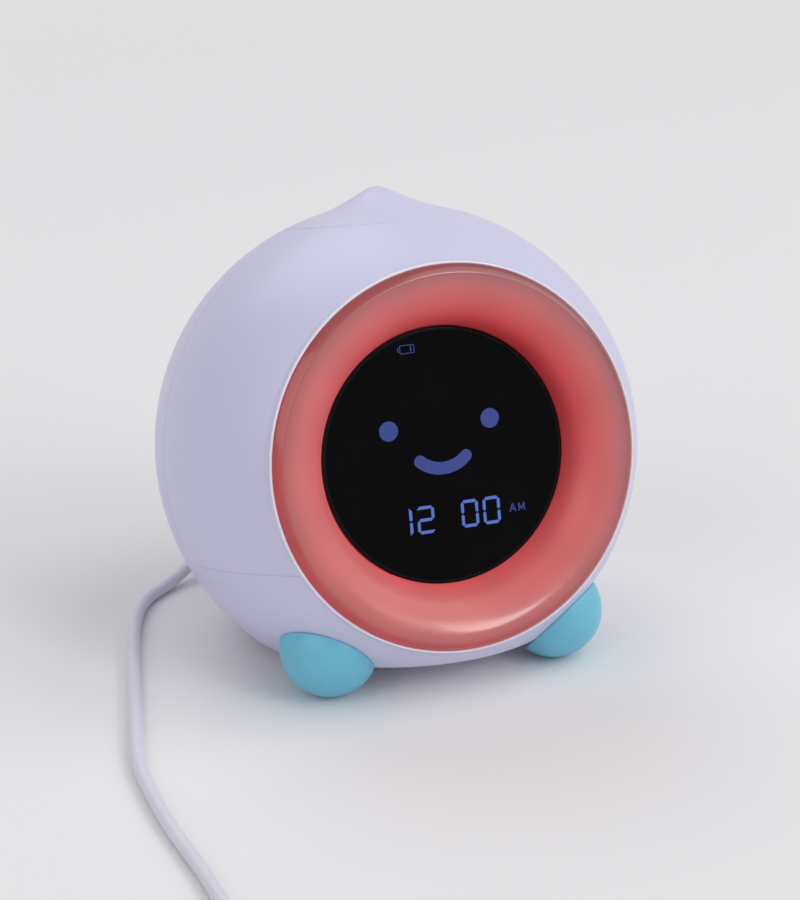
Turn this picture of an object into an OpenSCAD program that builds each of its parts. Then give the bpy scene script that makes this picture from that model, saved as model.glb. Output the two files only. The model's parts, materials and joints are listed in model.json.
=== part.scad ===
// Alarm clock with a night light for a child's room.
// A round head on two ball feet looks slightly upward. A hollow ring of translucent
// plastic, lit from behind, surrounds a round display window. The cap on top is the big
// button, five small keys and the loudspeaker are at the back, and three cells under the
// base keep the time when the lead is unplugged. +Z is up and the face looks towards -Y.

/* [Head] */
// Radius of the round head
head_r = 72; // [71:0.5:76]
// Thickness of the head's shells
wall = 2.4; // [2:0.1:2.8]
// How far the face leans back, in degrees
tilt = 13.3; // [11:0.1:15]
// Height of the seam above the chin, measured up the face from the head's centre
chin_seam = -26.5; // [-28:0.5:-25]
// Radius of the flat underside
base_r = 48.2; // [47:0.1:49]
// How far the underside slopes down to the back, in degrees
base_tilt = 5.5; // [5:0.1:6]
// Radius of the corners of the flat plates
plate_corner = 2; // [1:0.5:3]

/* [Feet] */
// Radius of a ball foot
foot_r = 14.5; // [13.5:0.1:15]
// How far a foot's centre is sunk below the head's surface
foot_sink = 3.9; // [3:0.1:4.5]
// Direction of a foot, in degrees sideways from straight ahead
foot_side = 44; // [42:1:46]
// Direction of a foot, in degrees below the horizon
foot_down = 41.2; // [40:0.1:42]
// Radius of the peg that passes through the shell
foot_peg_r = 3; // [2.5:0.1:3.5]
// Radius of the rubber pad under a foot
foot_pad_r = 2.6; // [2:0.1:2.8]
// Height of that pad
foot_pad_h = 1.5; // [1:0.1:2]
// How far the pads stand out below a ball
pad_proud = 0.3; // [0.2:0.1:0.4]
// Length of the rubber pad at the back
back_pad_l = 36; // [30:1:40]
// Width of the rubber pad at the back
back_pad_w = 9; // [8:0.5:10]

/* [Night light] */
// Radius of the opening for the light ring
ring_r = 54.7; // [54:0.1:55]
// Gap between the light ring and its opening
ring_gap = 0.15; // [0.1:0.05:0.3]
// Thickness of the light ring
ring_wall = 2; // [1.8:0.1:2.2]
// Height of the ring's crest above its edge
crest_h = 2.4; // [2.1:0.1:2.8]
// Distance from the ring's outer edge in to its crest
crest_in = 3.75; // [3.2:0.05:4.2]
// Height of the bead round the opening
bead_h = 0.4; // [0.3:0.1:0.6]
// Width of that bead
bead_w = 1.1; // [0.9:0.1:1.3]
// Depth of the opening's collar below the ring's edge
collar_depth = 8.2; // [8:0.1:8.6]
// Width of the rim that clamps the light ring
rim_w = 2.3; // [2.1:0.1:2.5]
// Thickness of that rim
rim_t = 1.6; // [1.4:0.1:1.8]
// Number of light-emitting diodes
led_count = 12; // [8:1:16]
// Side of one diode
led_w = 5; // [4:0.5:5]
// Thickness of the lamp tray
tray_t = 2; // [1.8:0.1:2.2]
// Distance of the tray's screws outside its rim
lug_out = 3.3; // [3.3:0.1:3.5]

/* [Display] */
// Radius of the display window
display_r = 36.95; // [36:0.05:37.5]
// Depth of the display below the ring's edge
recess = 9.45; // [9:0.05:10]
// Thickness of the window
lens_t = 2; // [1.8:0.1:2.4]
// Depth of the display's frame
frame_depth = 9.8; // [9.6:0.1:10.4]
// Floor of that frame
frame_floor = 2.4; // [2:0.1:2.6]
// Width of the liquid crystal panel
lcd_w = 50; // [46:0.5:50.5]
// Height of the liquid crystal panel
lcd_h = 48; // [44:0.5:48.5]
// Thickness of the backlight
backlight_t = 4.5; // [4:0.1:4.7]

/* [Cap] */
// Radius of the opening for the cap
cap_hole_r = 27; // [26.5:0.1:27.5]
// Gap round the cap
cap_gap = 0.3; // [0.25:0.05:0.4]
// Thickness of the cap
cap_wall = 2.2; // [2:0.1:2.4]
// Height of the peak above the round of the head
peak_h = 5; // [4:0.5:7]
// Radius of the foot of the peak
peak_r = 16.5; // [14:0.5:20]
// How far the cap goes down
cap_travel = 1.5; // [1:0.1:1.6]
// Radius of the cap's stem
stem_r = 4; // [3.5:0.1:4.5]
// Running clearance of that stem
stem_fit = 0.08; // [0.05:0.01:0.1]

/* [Keys] */
// Number of keys at the back
key_count = 5; // [5:1:5]
// Distance between keys
key_pitch = 12; // [11.5:0.1:12]
// Radius of a key
key_r = 4; // [3.5:0.1:4.1]
// Gap round a key
key_gap = 0.3; // [0.25:0.05:0.4]
// How far a key stands out of the head
key_proud = 1; // [0.8:0.1:1.4]
// How far a key goes in
key_travel = 0.8; // [0.6:0.1:0.9]
// Height of the row of keys, measured up the face from the head's centre
key_row = -3; // [-3:0.1:-2.5]

/* [Loudspeaker] */
// Radius of the loudspeaker
speaker_r = 20; // [19:0.5:20.5]
// Direction of the loudspeaker, in degrees above straight back
speaker_up = 24; // [24:0.5:26]
// Radius of a sound hole
sound_hole_r = 1; // [0.8:0.1:1.2]
// Distance between the rings of sound holes
sound_pitch = 4.2; // [4:0.1:4.4]

/* [Power] */
// Height of the power socket above the table
jack_height = 27.5; // [27.3:0.1:27.8]
// Sideways place of the power socket
jack_x = 6; // [4:0.5:8]
// Radius of the pocket round the socket
pocket_r = 5.4; // [5.2:0.1:5.5]
// Distance of the pocket's floor behind the head's middle
pocket_floor_y = 56.5; // [56:0.1:57]
// Radius of the plug's barrel
barrel_r = 1.75; // [1.7:0.05:1.75]
// Running clearance of that barrel
barrel_fit = 0.05; // [0.04:0.01:0.1]
// Diameter of the lead
cord_d = 3.9; // [3.9:0.1:3.9]

/* [Cells] */
// Length of a cell
cell_l = 44.5; // [44:0.1:44.6]
// Radius of a cell
cell_r = 5.25; // [5.1:0.05:5.25]
// Distance between the cells
cell_pitch = 11; // [11:0.1:11.3]
// Thickness of the door under the cells
door_t = 2.2; // [2:0.1:2.3]
// Gap round the door
door_gap = 0.3; // [0.25:0.05:0.4]
// How far the door drops to come out
door_drop = 8; // [6:0.5:10]

/* [Hidden] */

far = 200;
$fn = 96;
inner_r = head_r - wall;
bond_r = head_r - wall / 2;

// Light ring and display, as distances forward of the head's centre.
ring_n = sqrt(head_r * head_r - ring_r * ring_r) + bead_h;
rim_n = ring_n - collar_depth;
rim_r = ring_r + rim_w;
lamp_r = ring_r - ring_gap;
crest_r = lamp_r - crest_in;
crest_n = ring_n + crest_h;
display_n = ring_n - recess;
lens_back = display_n - lens_t;
tray_n = lens_back - frame_depth;
window_gap = 0.1;
window_r = display_r + window_gap;
slope_dr = crest_r - window_r;
slope_dn = crest_n - display_n;
slope_r = (slope_dr * slope_dr + slope_dn * slope_dn) / (2 * slope_dn);
lug_r = rim_r + lug_out;
sleeve_r = crest_r - slope_r + ring_wall;
sleeve_n = display_n - 3.8;
tray_wall = 1.8;
lamp_lead_y = (rim_r + window_r) / 2;

// The head sits on its feet, and its front and back are equally far from the origin.
foot_dist = head_r - foot_sink;
head_lift = foot_dist * sin(foot_down) + foot_r;
edge_reach = crest_r * sin(tilt) + ring_n * cos(tilt);
crest_reach = sqrt(pow(crest_in * sin(tilt), 2) + pow(crest_h * cos(tilt), 2));
head_y = (edge_reach + crest_reach - head_r) / 2;

// Cap, as distances up from the head's centre.
cap_r = cap_hole_r - cap_gap;
guide_t = 1.8;
guide_top = sqrt(inner_r * inner_r - pow(cap_hole_r + guide_t, 2)) - 0.2;
carrier_top = sqrt(inner_r * inner_r - pow(cap_hole_r, 2)) - 4.75;
carrier_t = 1.8;
carrier_post_r = 2.6;
carrier_screw_r = cap_hole_r + guide_t + carrier_post_r + 0.3;
carrier_r = carrier_screw_r + carrier_post_r;
carrier_bottom = carrier_top - carrier_t;
skirt_bottom = carrier_top + cap_travel + 0.4;
cap_head_h = 2;
cap_head_bottom = carrier_bottom - cap_head_h;
switch_h = 3.5;
switch_w = 6;
switch_top = cap_head_bottom - cap_travel - 0.3;
cap_board_top = switch_top - switch_h;
cap_board_r = 13;
plunger_r = 1.75;
plunger_fit = 0.1;
plunger_l = 2.9;
board_t = 1.6;
cap_post_x = 10;

// Keys, as distances forward of the head's centre, so they are negative.
key_plate_r = 7;
key_plate_x = key_pitch * (key_count - 1) / 2 + 6;
key_plate_t = 1.5;
key_reach = sqrt(pow(key_plate_x + key_plate_r, 2) + pow(key_row, 2)) + 0.6;
key_plate_n = -sqrt(inner_r * inner_r - key_reach * key_reach) + 0.1;
key_flange_n = key_plate_n + key_plate_t;
key_flange_t = 1.2;
key_flange_r = key_r + 1;
key_switch_n = key_flange_n + key_flange_t + key_travel + 0.5;
key_board_n = key_switch_n + switch_h;
key_stem_l = 2.9;
key_post_x = key_plate_x + 3;

// Main board
board_w = 84;
board_h = 54;
board_post_x = 36;
board_post_y = 22;
board_post_r = 3;
board_gap = 12.4;
board_front = tray_n - tray_t - board_gap;
board_back = board_front - board_t;

// Loudspeaker, as distances from the head's centre along its own axis.
speaker_z = sqrt(inner_r * inner_r - speaker_r * speaker_r) - 1.8;
speaker_rim_t = 1.2;
basket_h = 8.5;
magnet_r = 9;
magnet_h = 6;
speaker_post_r = speaker_r + 3.6;
speaker_angles = [30, 150, 270];

// Socket and plug, along +Y from the head's centre.
jack_l = 11;
nose_r = 3.1;
nose_fit = 0.1;
pocket_wall = 1.8;
pocket_floor_t = 2.5;
barrel_l = 10;
pin_r = 0.55;
plug_r = 4.4;
plug_gap = 0.3;
plug_arm_y = 69;
plug_end_y = plug_arm_y + plug_r;
plug_arm_r = 3.4;
plug_arm_l = 13;
relief_l = 16;
cord_r = cord_d / 2;

// Cells, in the base's own frame. base_z is the underside.
base_z = -sqrt(head_r * head_r - base_r * base_r);
base_in = base_z + wall;
cell_count = 3;
box_wall = 1.5;
contact_t = 0.4;
spring_l = 3.2;
box_y = -3;
box_w = cell_l + spring_l + 2 * contact_t;
box_l = cell_pitch * (cell_count - 1) + 2 * cell_r + 1.5;
door_w = box_w + 2 * box_wall + 1;
door_screw_y = box_y + box_l / 2 + box_wall + 4.5;
door_front = box_y - box_l / 2 - box_wall - 0.5;
door_l = door_screw_y + 4.5 - door_front;
door_y = door_front + door_l / 2;
door_top = base_z + door_t;
door_rib_h = 1.5;
cell_z = door_top + door_rib_h + 0.3 + cell_r;
box_top = cell_z + cell_r + 0.3;
flange_t = 2;
box_screw_x = door_w / 2 + 4.5;

// Screws
small_r = 0.9;
small_head_r = 2.2;
small_head_h = 1.6;
pilot_fit = 0.05;
case_screw_r = 1.4;
case_head_r = 2.6;
case_head_h = 2;
case_head_gap = 0.3;
case_boss_r = 4.3;
case_boss_out = head_r - 10.3;
case_head_n = 12;
case_grip = 11;
base_grip = 7;
base_screw_side = 40;
base_head_u = chin_seam - 4.5;
foot_screw_l = 8;

// Places of small parts, sideways and up the face.
key_places = [for (i = [0 : key_count - 1]) (i - (key_count - 1) / 2) * key_pitch];
lug_angles = [45, 135, 225, 315];
chip_places = [[-18, 8, 10, 10, 1.6], [6, 14, 8, 6, 1.4], [20, -4, 6, 5, 1.2], [-30, -12, 5, 8, 1.2]];
capacitor_places = [[-34, 8], [-8, -8], [30, 12]];
socket_places = [[14, 2], [-12, -18], [10, -20], [-4, 20], [-16, 20]];

// The lead's route over the table, in the clock's own frame: down behind the head, round its
// left side and forward, to the coil.
cord_rest = cord_r;
plug_exit = [jack_x - plug_arm_l - relief_l, plug_arm_y + head_y, jack_height];
cord_route = [
    plug_exit, plug_exit + [-6, -0.5, -2],
    [-35, 60, 18.5], [-41, 56.5, 11], [-47, 52.5, 6], [-53.5, 48.5, 3.2], [-60, 43.5, 2.2],
    [-66, 38.5, cord_rest], [-70.5, 32, cord_rest], [-74.5, 23.5, cord_rest],
    [-79, 10.5, cord_rest], [-82.5, -1, cord_rest], [-85.5, -12.5, cord_rest],
    [-88.5, -24, cord_rest], [-91.5, -35.5, cord_rest], [-94.5, -46.5, cord_rest],
    [-97.5, -58, cord_rest], [-100, -70, cord_rest], [-101, -82, cord_rest],
    [-101.5, -94, cord_rest], [-101.5, -106, cord_rest], [-101, -118, cord_rest],
    [-100.5, -130, cord_rest], [-100.5, -142, cord_rest], [-100, -154, cord_rest],
    [-100, -166, cord_rest], [-100, -176, cord_rest]
];
coil_at = [-127, -186];
coil_inner = 19.2;
coil_columns = 3;
coil_layers = 3;
tie_w = 6;
tie_t = 0.8;
usb_w = 15.5;
usb_h = 7.8;
usb_l = 22;
usb_relief_l = 6;
usb_at = [-168, -180, usb_h / 2];
tail_route = [
    [-151, -203, 8], [-155.5, -198, 6.8], [-160, -193, 5.6], [-164, -188, 4.6],
    [-167, -184, 4], usb_at
];

// ---------- frames ----------

// Head's own frame: z up the face, -y forward out of the display.
module head_frame() {
    translate([0, head_y, head_lift]) rotate([-tilt, 0, 0]) children();
}

// Face's frame: x sideways, y up the face, z forward out of the display.
module face_frame() {
    head_frame() rotate([90, 0, 0]) children();
}

// Base's frame: z square to the underside.
module base_frame() {
    translate([0, head_y, head_lift]) rotate([-base_tilt, 0, 0]) children();
}

// Loudspeaker's frame: z outward through the sound holes.
module speaker_frame() {
    head_frame() rotate([speaker_up - 90, 0, 0]) children();
}

// Socket's frame: z level and straight back.
module jack_frame() {
    translate([jack_x, head_y, jack_height]) rotate([-90, 0, 0]) children();
}

// Foot's frame: z outward from the head's centre through the foot. side is -1 or 1.
module foot_frame(side) {
    translate([0, head_y, head_lift])
        rotate([90 + foot_down, 0, side * foot_side]) children();
}

// ---------- shared shapes ----------

// Points on part of an ellipse.
function arc(cx, cy, rx, ry, from, to, steps) =
    [for (i = [0 : steps]) let (a = from + (to - from) * i / steps)
        [cx + rx * cos(a), cy + ry * sin(a)]];

// Height of the cap's skin above the head's centre at a distance from its axis.
function cap_skin(r) = sqrt(head_r * head_r - r * r)
    + (r < peak_r ? peak_h * (1 + cos(180 * r / peak_r)) / 2 : 0);

function unit(v) = v / norm(v);

// Direction of a route at one of its points.
function heading(route, i) = unit(route[min(i + 1, len(route) - 1)] - route[max(i - 1, 0)]);

// One ring of points square to the route. The route never runs along the direction "across".
function ring_at(route, i, r, sides, across) =
    let (t = heading(route, i), side = unit(cross(t, across)), up = cross(side, t))
        [for (k = [0 : sides - 1]) let (a = 360 * (k + 0.5) / sides)
            route[i] + r * (cos(a) * side + sin(a) * up)];

// A closed tube swept along a route.
module tube_along(route, r, sides, across) {
    rings = len(route);
    points = [for (i = [0 : rings - 1]) each ring_at(route, i, r, sides, across)];
    skin = [for (i = [0 : rings - 2], k = [0 : sides - 1])
        let (a = i * sides + k, b = i * sides + (k + 1) % sides) [a, b, b + sides, a + sides]];
    start = [for (k = [sides - 1 : -1 : 0]) k];
    finish = [for (k = [0 : sides - 1]) (rings - 1) * sides + k];
    polyhedron(points, concat([start], skin, [finish]));
}

// A plate with round corners, centred on its own middle.
module round_plate(w, l, t, corner = plate_corner) {
    linear_extrude(t) {
        square([w - 2 * corner, l], center = true);
        square([w, l - 2 * corner], center = true);
        for (x = [-1, 1], y = [-1, 1])
            translate([x * (w / 2 - corner), y * (l / 2 - corner)]) circle(corner);
    }
}

// A plate with half-round ends.
module long_plate(half, r, t) {
    linear_extrude(t) {
        square([2 * half, 2 * r], center = true);
        for (x = [-1, 1]) translate([x * half, 0]) circle(r);
    }
}

// A screw with its head above z = 0 and its shank below.
module screw(r, l, head_r, head_h) {
    slot = head_r / 3;
    translate([0, 0, -l]) cylinder(r = r, h = l + head_h / 4);
    difference() {
        cylinder(r = head_r, h = head_h);
        for (turn = [0, 90])
            rotate(turn) translate([-head_r * 0.6, -slot / 2, head_h / 2])
                cube([head_r * 1.2, slot, head_h]);
    }
}

module small_screw(l) {
    screw(small_r, l, small_head_r, small_head_h);
}

module case_screw(l) {
    screw(case_screw_r, l, case_head_r, case_head_h);
}

// A smooth ball round the head's centre, with its poles out of the way.
module ball(r) {
    rotate([90, 0, 0]) rotate(40) sphere(r, $fn = 180);
}

// The part of the head's wall on one side of the seams, in the face's frame.
module wall_part(low, size) {
    intersection() {
        difference() {
            ball(head_r);
            ball(inner_r);
        }
        translate(low) cube(size);
    }
}

// Collar and bead round the opening of the light ring, in the face's frame.
module opening_collar() {
    bead_r = ring_r + bead_w;
    bead_n = sqrt(head_r * head_r - bead_r * bead_r);
    rotate_extrude() polygon([
        [ring_r, rim_n], [rim_r, rim_n], [rim_r, rim_n + 3], [bead_r, bead_n - 1.4],
        [bead_r, bead_n + 0.4], [ring_r + bead_w / 2, ring_n], [ring_r, ring_n]
    ]);
}

// Posts that the lamp tray is screwed to, at the given angles round the face.
module tray_posts(angles) {
    intersection() {
        ball(bond_r);
        for (a = angles)
            rotate(a) translate([lug_r, 0, tray_n]) cylinder(r = 3, h = far);
    }
}

// Posts that hold the cap's carrier, in the head's frame, on one side of the middle seam.
module carrier_posts(side) {
    intersection() {
        ball(bond_r);
        for (x = [-1, 1])
            translate([x * carrier_screw_r * sin(45), side * carrier_screw_r * cos(45), carrier_top])
                cylinder(r = carrier_post_r, h = far);
    }
}

// Places of the four long screws that join the front and rear shells, in the face's frame.
module at_case_screws() {
    for (side = [-1, 1], a = [22, -12])
        translate([side * case_boss_out * cos(a), case_boss_out * sin(a), 0]) children();
}

// Places of the two screws that join the rear shell to the base, in the head's frame.
module at_base_screws() {
    for (side = [-1, 1])
        rotate(90 - side * base_screw_side) translate([case_boss_out, 0, 0]) children();
}

// Posts in the rear shell for those two screws, each with a rib out to the wall.
module base_posts() {
    intersection() {
        ball(bond_r);
        at_base_screws() translate([0, 0, chin_seam]) {
            cylinder(r = case_boss_r, h = base_grip + 3);
            translate([0, -1, 0]) cube([far, 2, base_grip + 3]);
        }
    }
}

// ---------- shells ----------

module front_shell() {
    color("lavender") difference() {
        union() {
            face_frame() wall_part([-far / 2, chin_seam, 0], [far, far, far]);
            face_frame() intersection() {
                union() {
                    opening_collar();
                    tray_posts([45, 135]);
                }
                translate([-far / 2, chin_seam, 0]) cube(far);
            }
            face_frame() intersection() {
                ball(bond_r);
                at_case_screws() cylinder(r = case_boss_r, h = far);
            }
            head_frame() carrier_posts(-1);
        }
        face_frame() translate([0, 0, rim_n - 1]) cylinder(r = ring_r, h = far);
        face_frame() for (a = [45, 135])
            rotate(a) translate([lug_r, 0, tray_n - 1]) cylinder(r = small_r + pilot_fit, h = 8);
        face_frame() at_case_screws()
            translate([0, 0, -1]) cylinder(r = case_screw_r + pilot_fit, h = case_grip + 2);
        head_frame() cylinder(r = cap_hole_r, h = far);
        head_frame() carrier_pilots();
    }
}

module carrier_pilots() {
    for (x = [-1, 1], y = [-1, 1])
        translate([x * carrier_screw_r * sin(45), y * carrier_screw_r * cos(45), carrier_top - 1])
            cylinder(r = small_r + pilot_fit, h = 4.6);
}

// The sound holes, as rings of pins along the loudspeaker's axis.
module sound_holes() {
    cylinder(r = sound_hole_r, h = far);
    for (ring = [1 : 3], k = [0 : 6 * ring - 1])
        rotate(360 * k / (6 * ring)) translate([ring * sound_pitch, 0, 0])
            cylinder(r = sound_hole_r, h = far);
}

module rear_shell() {
    pilot_l = 3.4;
    color("lavender") difference() {
        union() {
            face_frame() wall_part([-far / 2, chin_seam, -far], [far, far, far]);
            face_frame() intersection() {
                ball(bond_r);
                union() {
                    at_case_screws() translate([0, 0, -far]) cylinder(r = case_boss_r, h = far);
                    for (x = [-1, 1])
                        translate([x * key_post_x, key_row, key_plate_n - far])
                            cylinder(r = 3, h = far);
                }
            }
            speaker_frame() intersection() {
                ball(bond_r);
                difference() {
                    translate([0, 0, speaker_z - speaker_rim_t]) {
                        cylinder(r = speaker_r + 2, h = far);
                        for (a = speaker_angles)
                            rotate(a) translate([speaker_post_r, 0, 0]) cylinder(r = 2.8, h = far);
                    }
                    cylinder(r = speaker_r + 0.2, h = far);
                }
            }
            intersection() {
                translate([0, head_y, head_lift]) ball(bond_r);
                jack_frame() translate([0, 0, pocket_floor_y - pocket_floor_t])
                    cylinder(r = pocket_r + pocket_wall, h = far);
            }
            head_frame() carrier_posts(1);
            head_frame() base_posts();
        }
        speaker_frame() sound_holes();
        speaker_frame() for (a = speaker_angles)
            rotate(a) translate([speaker_post_r, 0, speaker_z - speaker_rim_t - 1])
                cylinder(r = small_r + pilot_fit, h = pilot_l + 1);
        face_frame() for (x = key_places)
            translate([x, key_row, -far]) cylinder(r = key_r + key_gap, h = far);
        face_frame() for (x = [-1, 1])
            translate([x * key_post_x, key_row, key_plate_n - pilot_l])
                cylinder(r = small_r + pilot_fit, h = pilot_l + 1);
        face_frame() at_case_screws() {
            translate([0, 0, -case_head_n - 1]) cylinder(r = case_screw_r + 0.2, h = far);
            translate([0, 0, -far]) cylinder(r = case_head_r + case_head_gap, h = far - case_head_n);
        }
        head_frame() at_base_screws() translate([0, 0, chin_seam - 1])
            cylinder(r = case_screw_r + pilot_fit, h = base_grip + 2);
        jack_frame() translate([0, 0, pocket_floor_y]) cylinder(r = pocket_r, h = far);
        jack_frame() translate([0, 0, pocket_floor_y - far / 2])
            cylinder(r = nose_r + nose_fit, h = far);
        head_frame() cylinder(r = cap_hole_r, h = far);
        head_frame() carrier_pilots();
    }
}

// The solid half-space over a height in the base's frame.
module above(z) {
    translate([-far / 2, -far / 2, z]) cube(far);
}

// The flat that the ring's flange and the lamp tray need at the bottom, over the base's floor.
module floor_flat() {
    base_frame() translate([-far / 2, -far / 2, base_in + 0.2 - far]) cube(far);
}

module base_shell() {
    boss_face = inner_r - 2.1;
    color("lavender") difference() {
        union() {
            intersection() {
                difference() {
                    translate([0, head_y, head_lift]) ball(head_r);
                    intersection() {
                        translate([0, head_y, head_lift]) ball(inner_r);
                        base_frame() above(base_in);
                    }
                }
                face_frame() translate([-far / 2, chin_seam - far, -far / 2]) cube(far);
                base_frame() above(base_z);
            }
            face_frame() intersection() {
                union() {
                    opening_collar();
                    tray_posts([225, 315]);
                }
                translate([-far / 2, chin_seam - far, -far / 2]) cube(far);
            }
            for (side = [-1, 1]) intersection() {
                foot_frame(side) translate([0, 0, boss_face]) cylinder(r = 6, h = far);
                translate([0, head_y, head_lift]) ball(bond_r);
            }
            head_frame() intersection() {
                ball(bond_r);
                at_base_screws() translate([0, 0, chin_seam - far])
                    cylinder(r = case_boss_r, h = far);
            }
        }
        head_frame() at_base_screws() {
            translate([0, 0, base_head_u - far])
                cylinder(r = case_head_r + case_head_gap, h = far);
            translate([0, 0, base_head_u - 1]) cylinder(r = case_screw_r + 0.2, h = far / 4);
        }
        face_frame() translate([0, 0, rim_n - 1]) cylinder(r = ring_r, h = far);
        face_frame() for (a = [225, 315])
            rotate(a) translate([lug_r, 0, tray_n - 1]) cylinder(r = small_r + pilot_fit, h = 8);
        for (side = [-1, 1])
            foot_frame(side) translate([0, 0, inner_r - 4]) cylinder(r = foot_peg_r + 0.1, h = 8);
        base_frame() translate([0, door_y, base_z - 1])
            round_plate(door_w + 2 * door_gap, door_l + 2 * door_gap, wall + 2);
        base_frame() for (x = [-1, 1])
            translate([x * box_screw_x, box_y, base_in - 1.8])
                cylinder(r = small_r + pilot_fit, h = 3);
    }
}

// ---------- cap on top ----------

module top_cap() {
    steps = 24;
    skin = [for (i = [0 : steps]) [cap_r * i / steps, cap_skin(cap_r * i / steps)]];
    inside_r = cap_r - cap_wall;
    lining = [for (i = [steps : -1 : 0])
        let (r = stem_r + (inside_r - stem_r) * i / steps) [r, cap_skin(r) - cap_wall]];
    color("lavender") head_frame() difference() {
        rotate_extrude() polygon(concat(
            skin, [[cap_r, skirt_bottom], [inside_r, skirt_bottom]], lining,
            [[stem_r, carrier_bottom], [0, carrier_bottom]]
        ));
        translate([0, 0, carrier_bottom - 1]) cylinder(r = 1.2 + pilot_fit, h = 10);
    }
}

module cap_screw() {
    color("silver") head_frame() translate([0, 0, carrier_bottom]) {
        translate([0, 0, -cap_head_h]) cylinder(r = stem_r + 1, h = cap_head_h);
        translate([0, 0, -0.5]) cylinder(r = 1.2, h = 8);
    }
}

module cap_plunger() {
    color("dimgray") head_frame() translate([0, 0, cap_head_bottom - plunger_l])
        cylinder(r = plunger_r, h = plunger_l);
}

module cap_carrier() {
    color("white") head_frame() difference() {
        union() {
            translate([0, 0, carrier_bottom]) cylinder(r = carrier_r, h = carrier_t);
            translate([0, 0, carrier_bottom + 0.5])
                cylinder(r = cap_hole_r + guide_t, h = guide_top - carrier_bottom - 0.5);
            for (x = [-1, 1])
                translate([x * cap_post_x, 0, cap_board_top])
                    cylinder(r = 2.4, h = carrier_bottom - cap_board_top + 0.5);
        }
        translate([0, 0, carrier_top]) cylinder(r = cap_hole_r, h = far);
        translate([0, 0, carrier_bottom - 1]) cylinder(r = stem_r + stem_fit, h = carrier_t + 2);
        for (x = [-1, 1], y = [-1, 1])
            translate([x * carrier_screw_r * sin(45), y * carrier_screw_r * cos(45), carrier_bottom - 1])
                cylinder(r = small_r + 0.2, h = carrier_t + 2);
        for (x = [-1, 1])
            translate([x * cap_post_x, 0, cap_board_top - 1])
                cylinder(r = small_r + pilot_fit, h = 7);
    }
}

// A push switch standing on z = 0, open on top for its plunger.
module push_switch() {
    difference() {
        translate([-switch_w / 2, -switch_w / 2, 0]) cube([switch_w, switch_w, switch_h]);
        translate([0, 0, 0.6]) cylinder(r = plunger_r + plunger_fit, h = switch_h);
    }
}

module cap_switch() {
    color("black") head_frame() translate([0, 0, cap_board_top]) push_switch();
}

module cap_board() {
    color("seagreen") head_frame() difference() {
        translate([0, 0, cap_board_top - board_t]) cylinder(r = cap_board_r, h = board_t);
        for (x = [-1, 1])
            translate([x * cap_post_x, 0, cap_board_top - board_t - 1])
                cylinder(r = small_r + 0.2, h = board_t + 2);
    }
}

// ---------- night light ----------

module light_ring() {
    outer_h = crest_h - 0.1;
    outer_n = ring_n + 0.1;
    slope_end = 180 - asin((slope_r - slope_dn) / slope_r);
    color("lightpink") difference() {
        face_frame() rotate_extrude() polygon(concat(
            [[rim_r, rim_n - rim_t], [rim_r, rim_n], [lamp_r, rim_n]],
            arc(crest_r, outer_n, crest_in, outer_h, 0, 90, 8),
            arc(crest_r, crest_n - slope_r, slope_r, slope_r, 96, slope_end, 12),
            [[window_r, sleeve_n], [sleeve_r, sleeve_n]],
            arc(crest_r, crest_n - slope_r, slope_r - ring_wall, slope_r - ring_wall, 180, 90, 12),
            [[lamp_r - ring_wall, ring_n], [lamp_r - ring_wall, rim_n - rim_t]]
        ));
        floor_flat();
    }
}

module lamp_tray() {
    lead_hole_r = 2;
    color("white") difference() {
        face_frame() {
            rotate_extrude() polygon([
                [31, tray_n - tray_t], [rim_r, tray_n - tray_t], [rim_r, rim_n - rim_t],
                [rim_r - tray_wall, rim_n - rim_t], [rim_r - tray_wall, tray_n],
                [sleeve_r, tray_n], [sleeve_r, sleeve_n], [window_r, sleeve_n],
                [window_r, tray_n], [31, tray_n]
            ]);
            for (a = lug_angles)
                rotate(a) translate([rim_r - tray_wall, 0, tray_n - tray_t]) {
                    lug_l = lug_r - rim_r + tray_wall;
                    translate([0, -3, 0]) cube([lug_l, 6, tray_t]);
                    translate([lug_l, 0, 0]) cylinder(r = 3, h = tray_t);
                }
            for (x = [-1, 1], y = [-1, 1])
                translate([x * board_post_x, y * board_post_y, board_front])
                    cylinder(r = board_post_r, h = board_gap + 0.5);
        }
        face_frame() for (a = lug_angles)
            rotate(a) translate([lug_r, 0, tray_n - tray_t - 1])
                cylinder(r = small_r + 0.2, h = tray_t + 2);
        face_frame() for (x = [-1, 1], y = [-1, 1])
            translate([x * board_post_x, y * board_post_y, board_front - 1])
                cylinder(r = small_r + pilot_fit, h = 8);
        face_frame() translate([0, lamp_lead_y, tray_n - tray_t - 1])
            cylinder(r = lead_hole_r, h = tray_t + 2);
        floor_flat();
    }
}

module led_board() {
    color("white") face_frame() translate([0, 0, tray_n]) difference() {
        cylinder(r = rim_r - tray_wall - 0.2, h = board_t);
        translate([0, 0, -1]) cylinder(r = sleeve_r + 0.2, h = board_t + 2);
    }
}

module leds() {
    led_circle = (rim_r - tray_wall + sleeve_r) / 2;
    color("khaki") face_frame() for (k = [0 : led_count - 1])
        rotate(360 * k / led_count) translate([led_circle, 0, tray_n + board_t])
            translate([-led_w / 2, -led_w / 2, 0]) cube([led_w, led_w, board_t]);
}

// ---------- display ----------

module display_lens() {
    bevel = 0.5;
    color([0.03, 0.03, 0.04]) face_frame() rotate_extrude() polygon([
        [0, lens_back], [display_r, lens_back], [display_r, display_n - bevel],
        [display_r - bevel, display_n], [0, display_n]
    ]);
}

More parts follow.
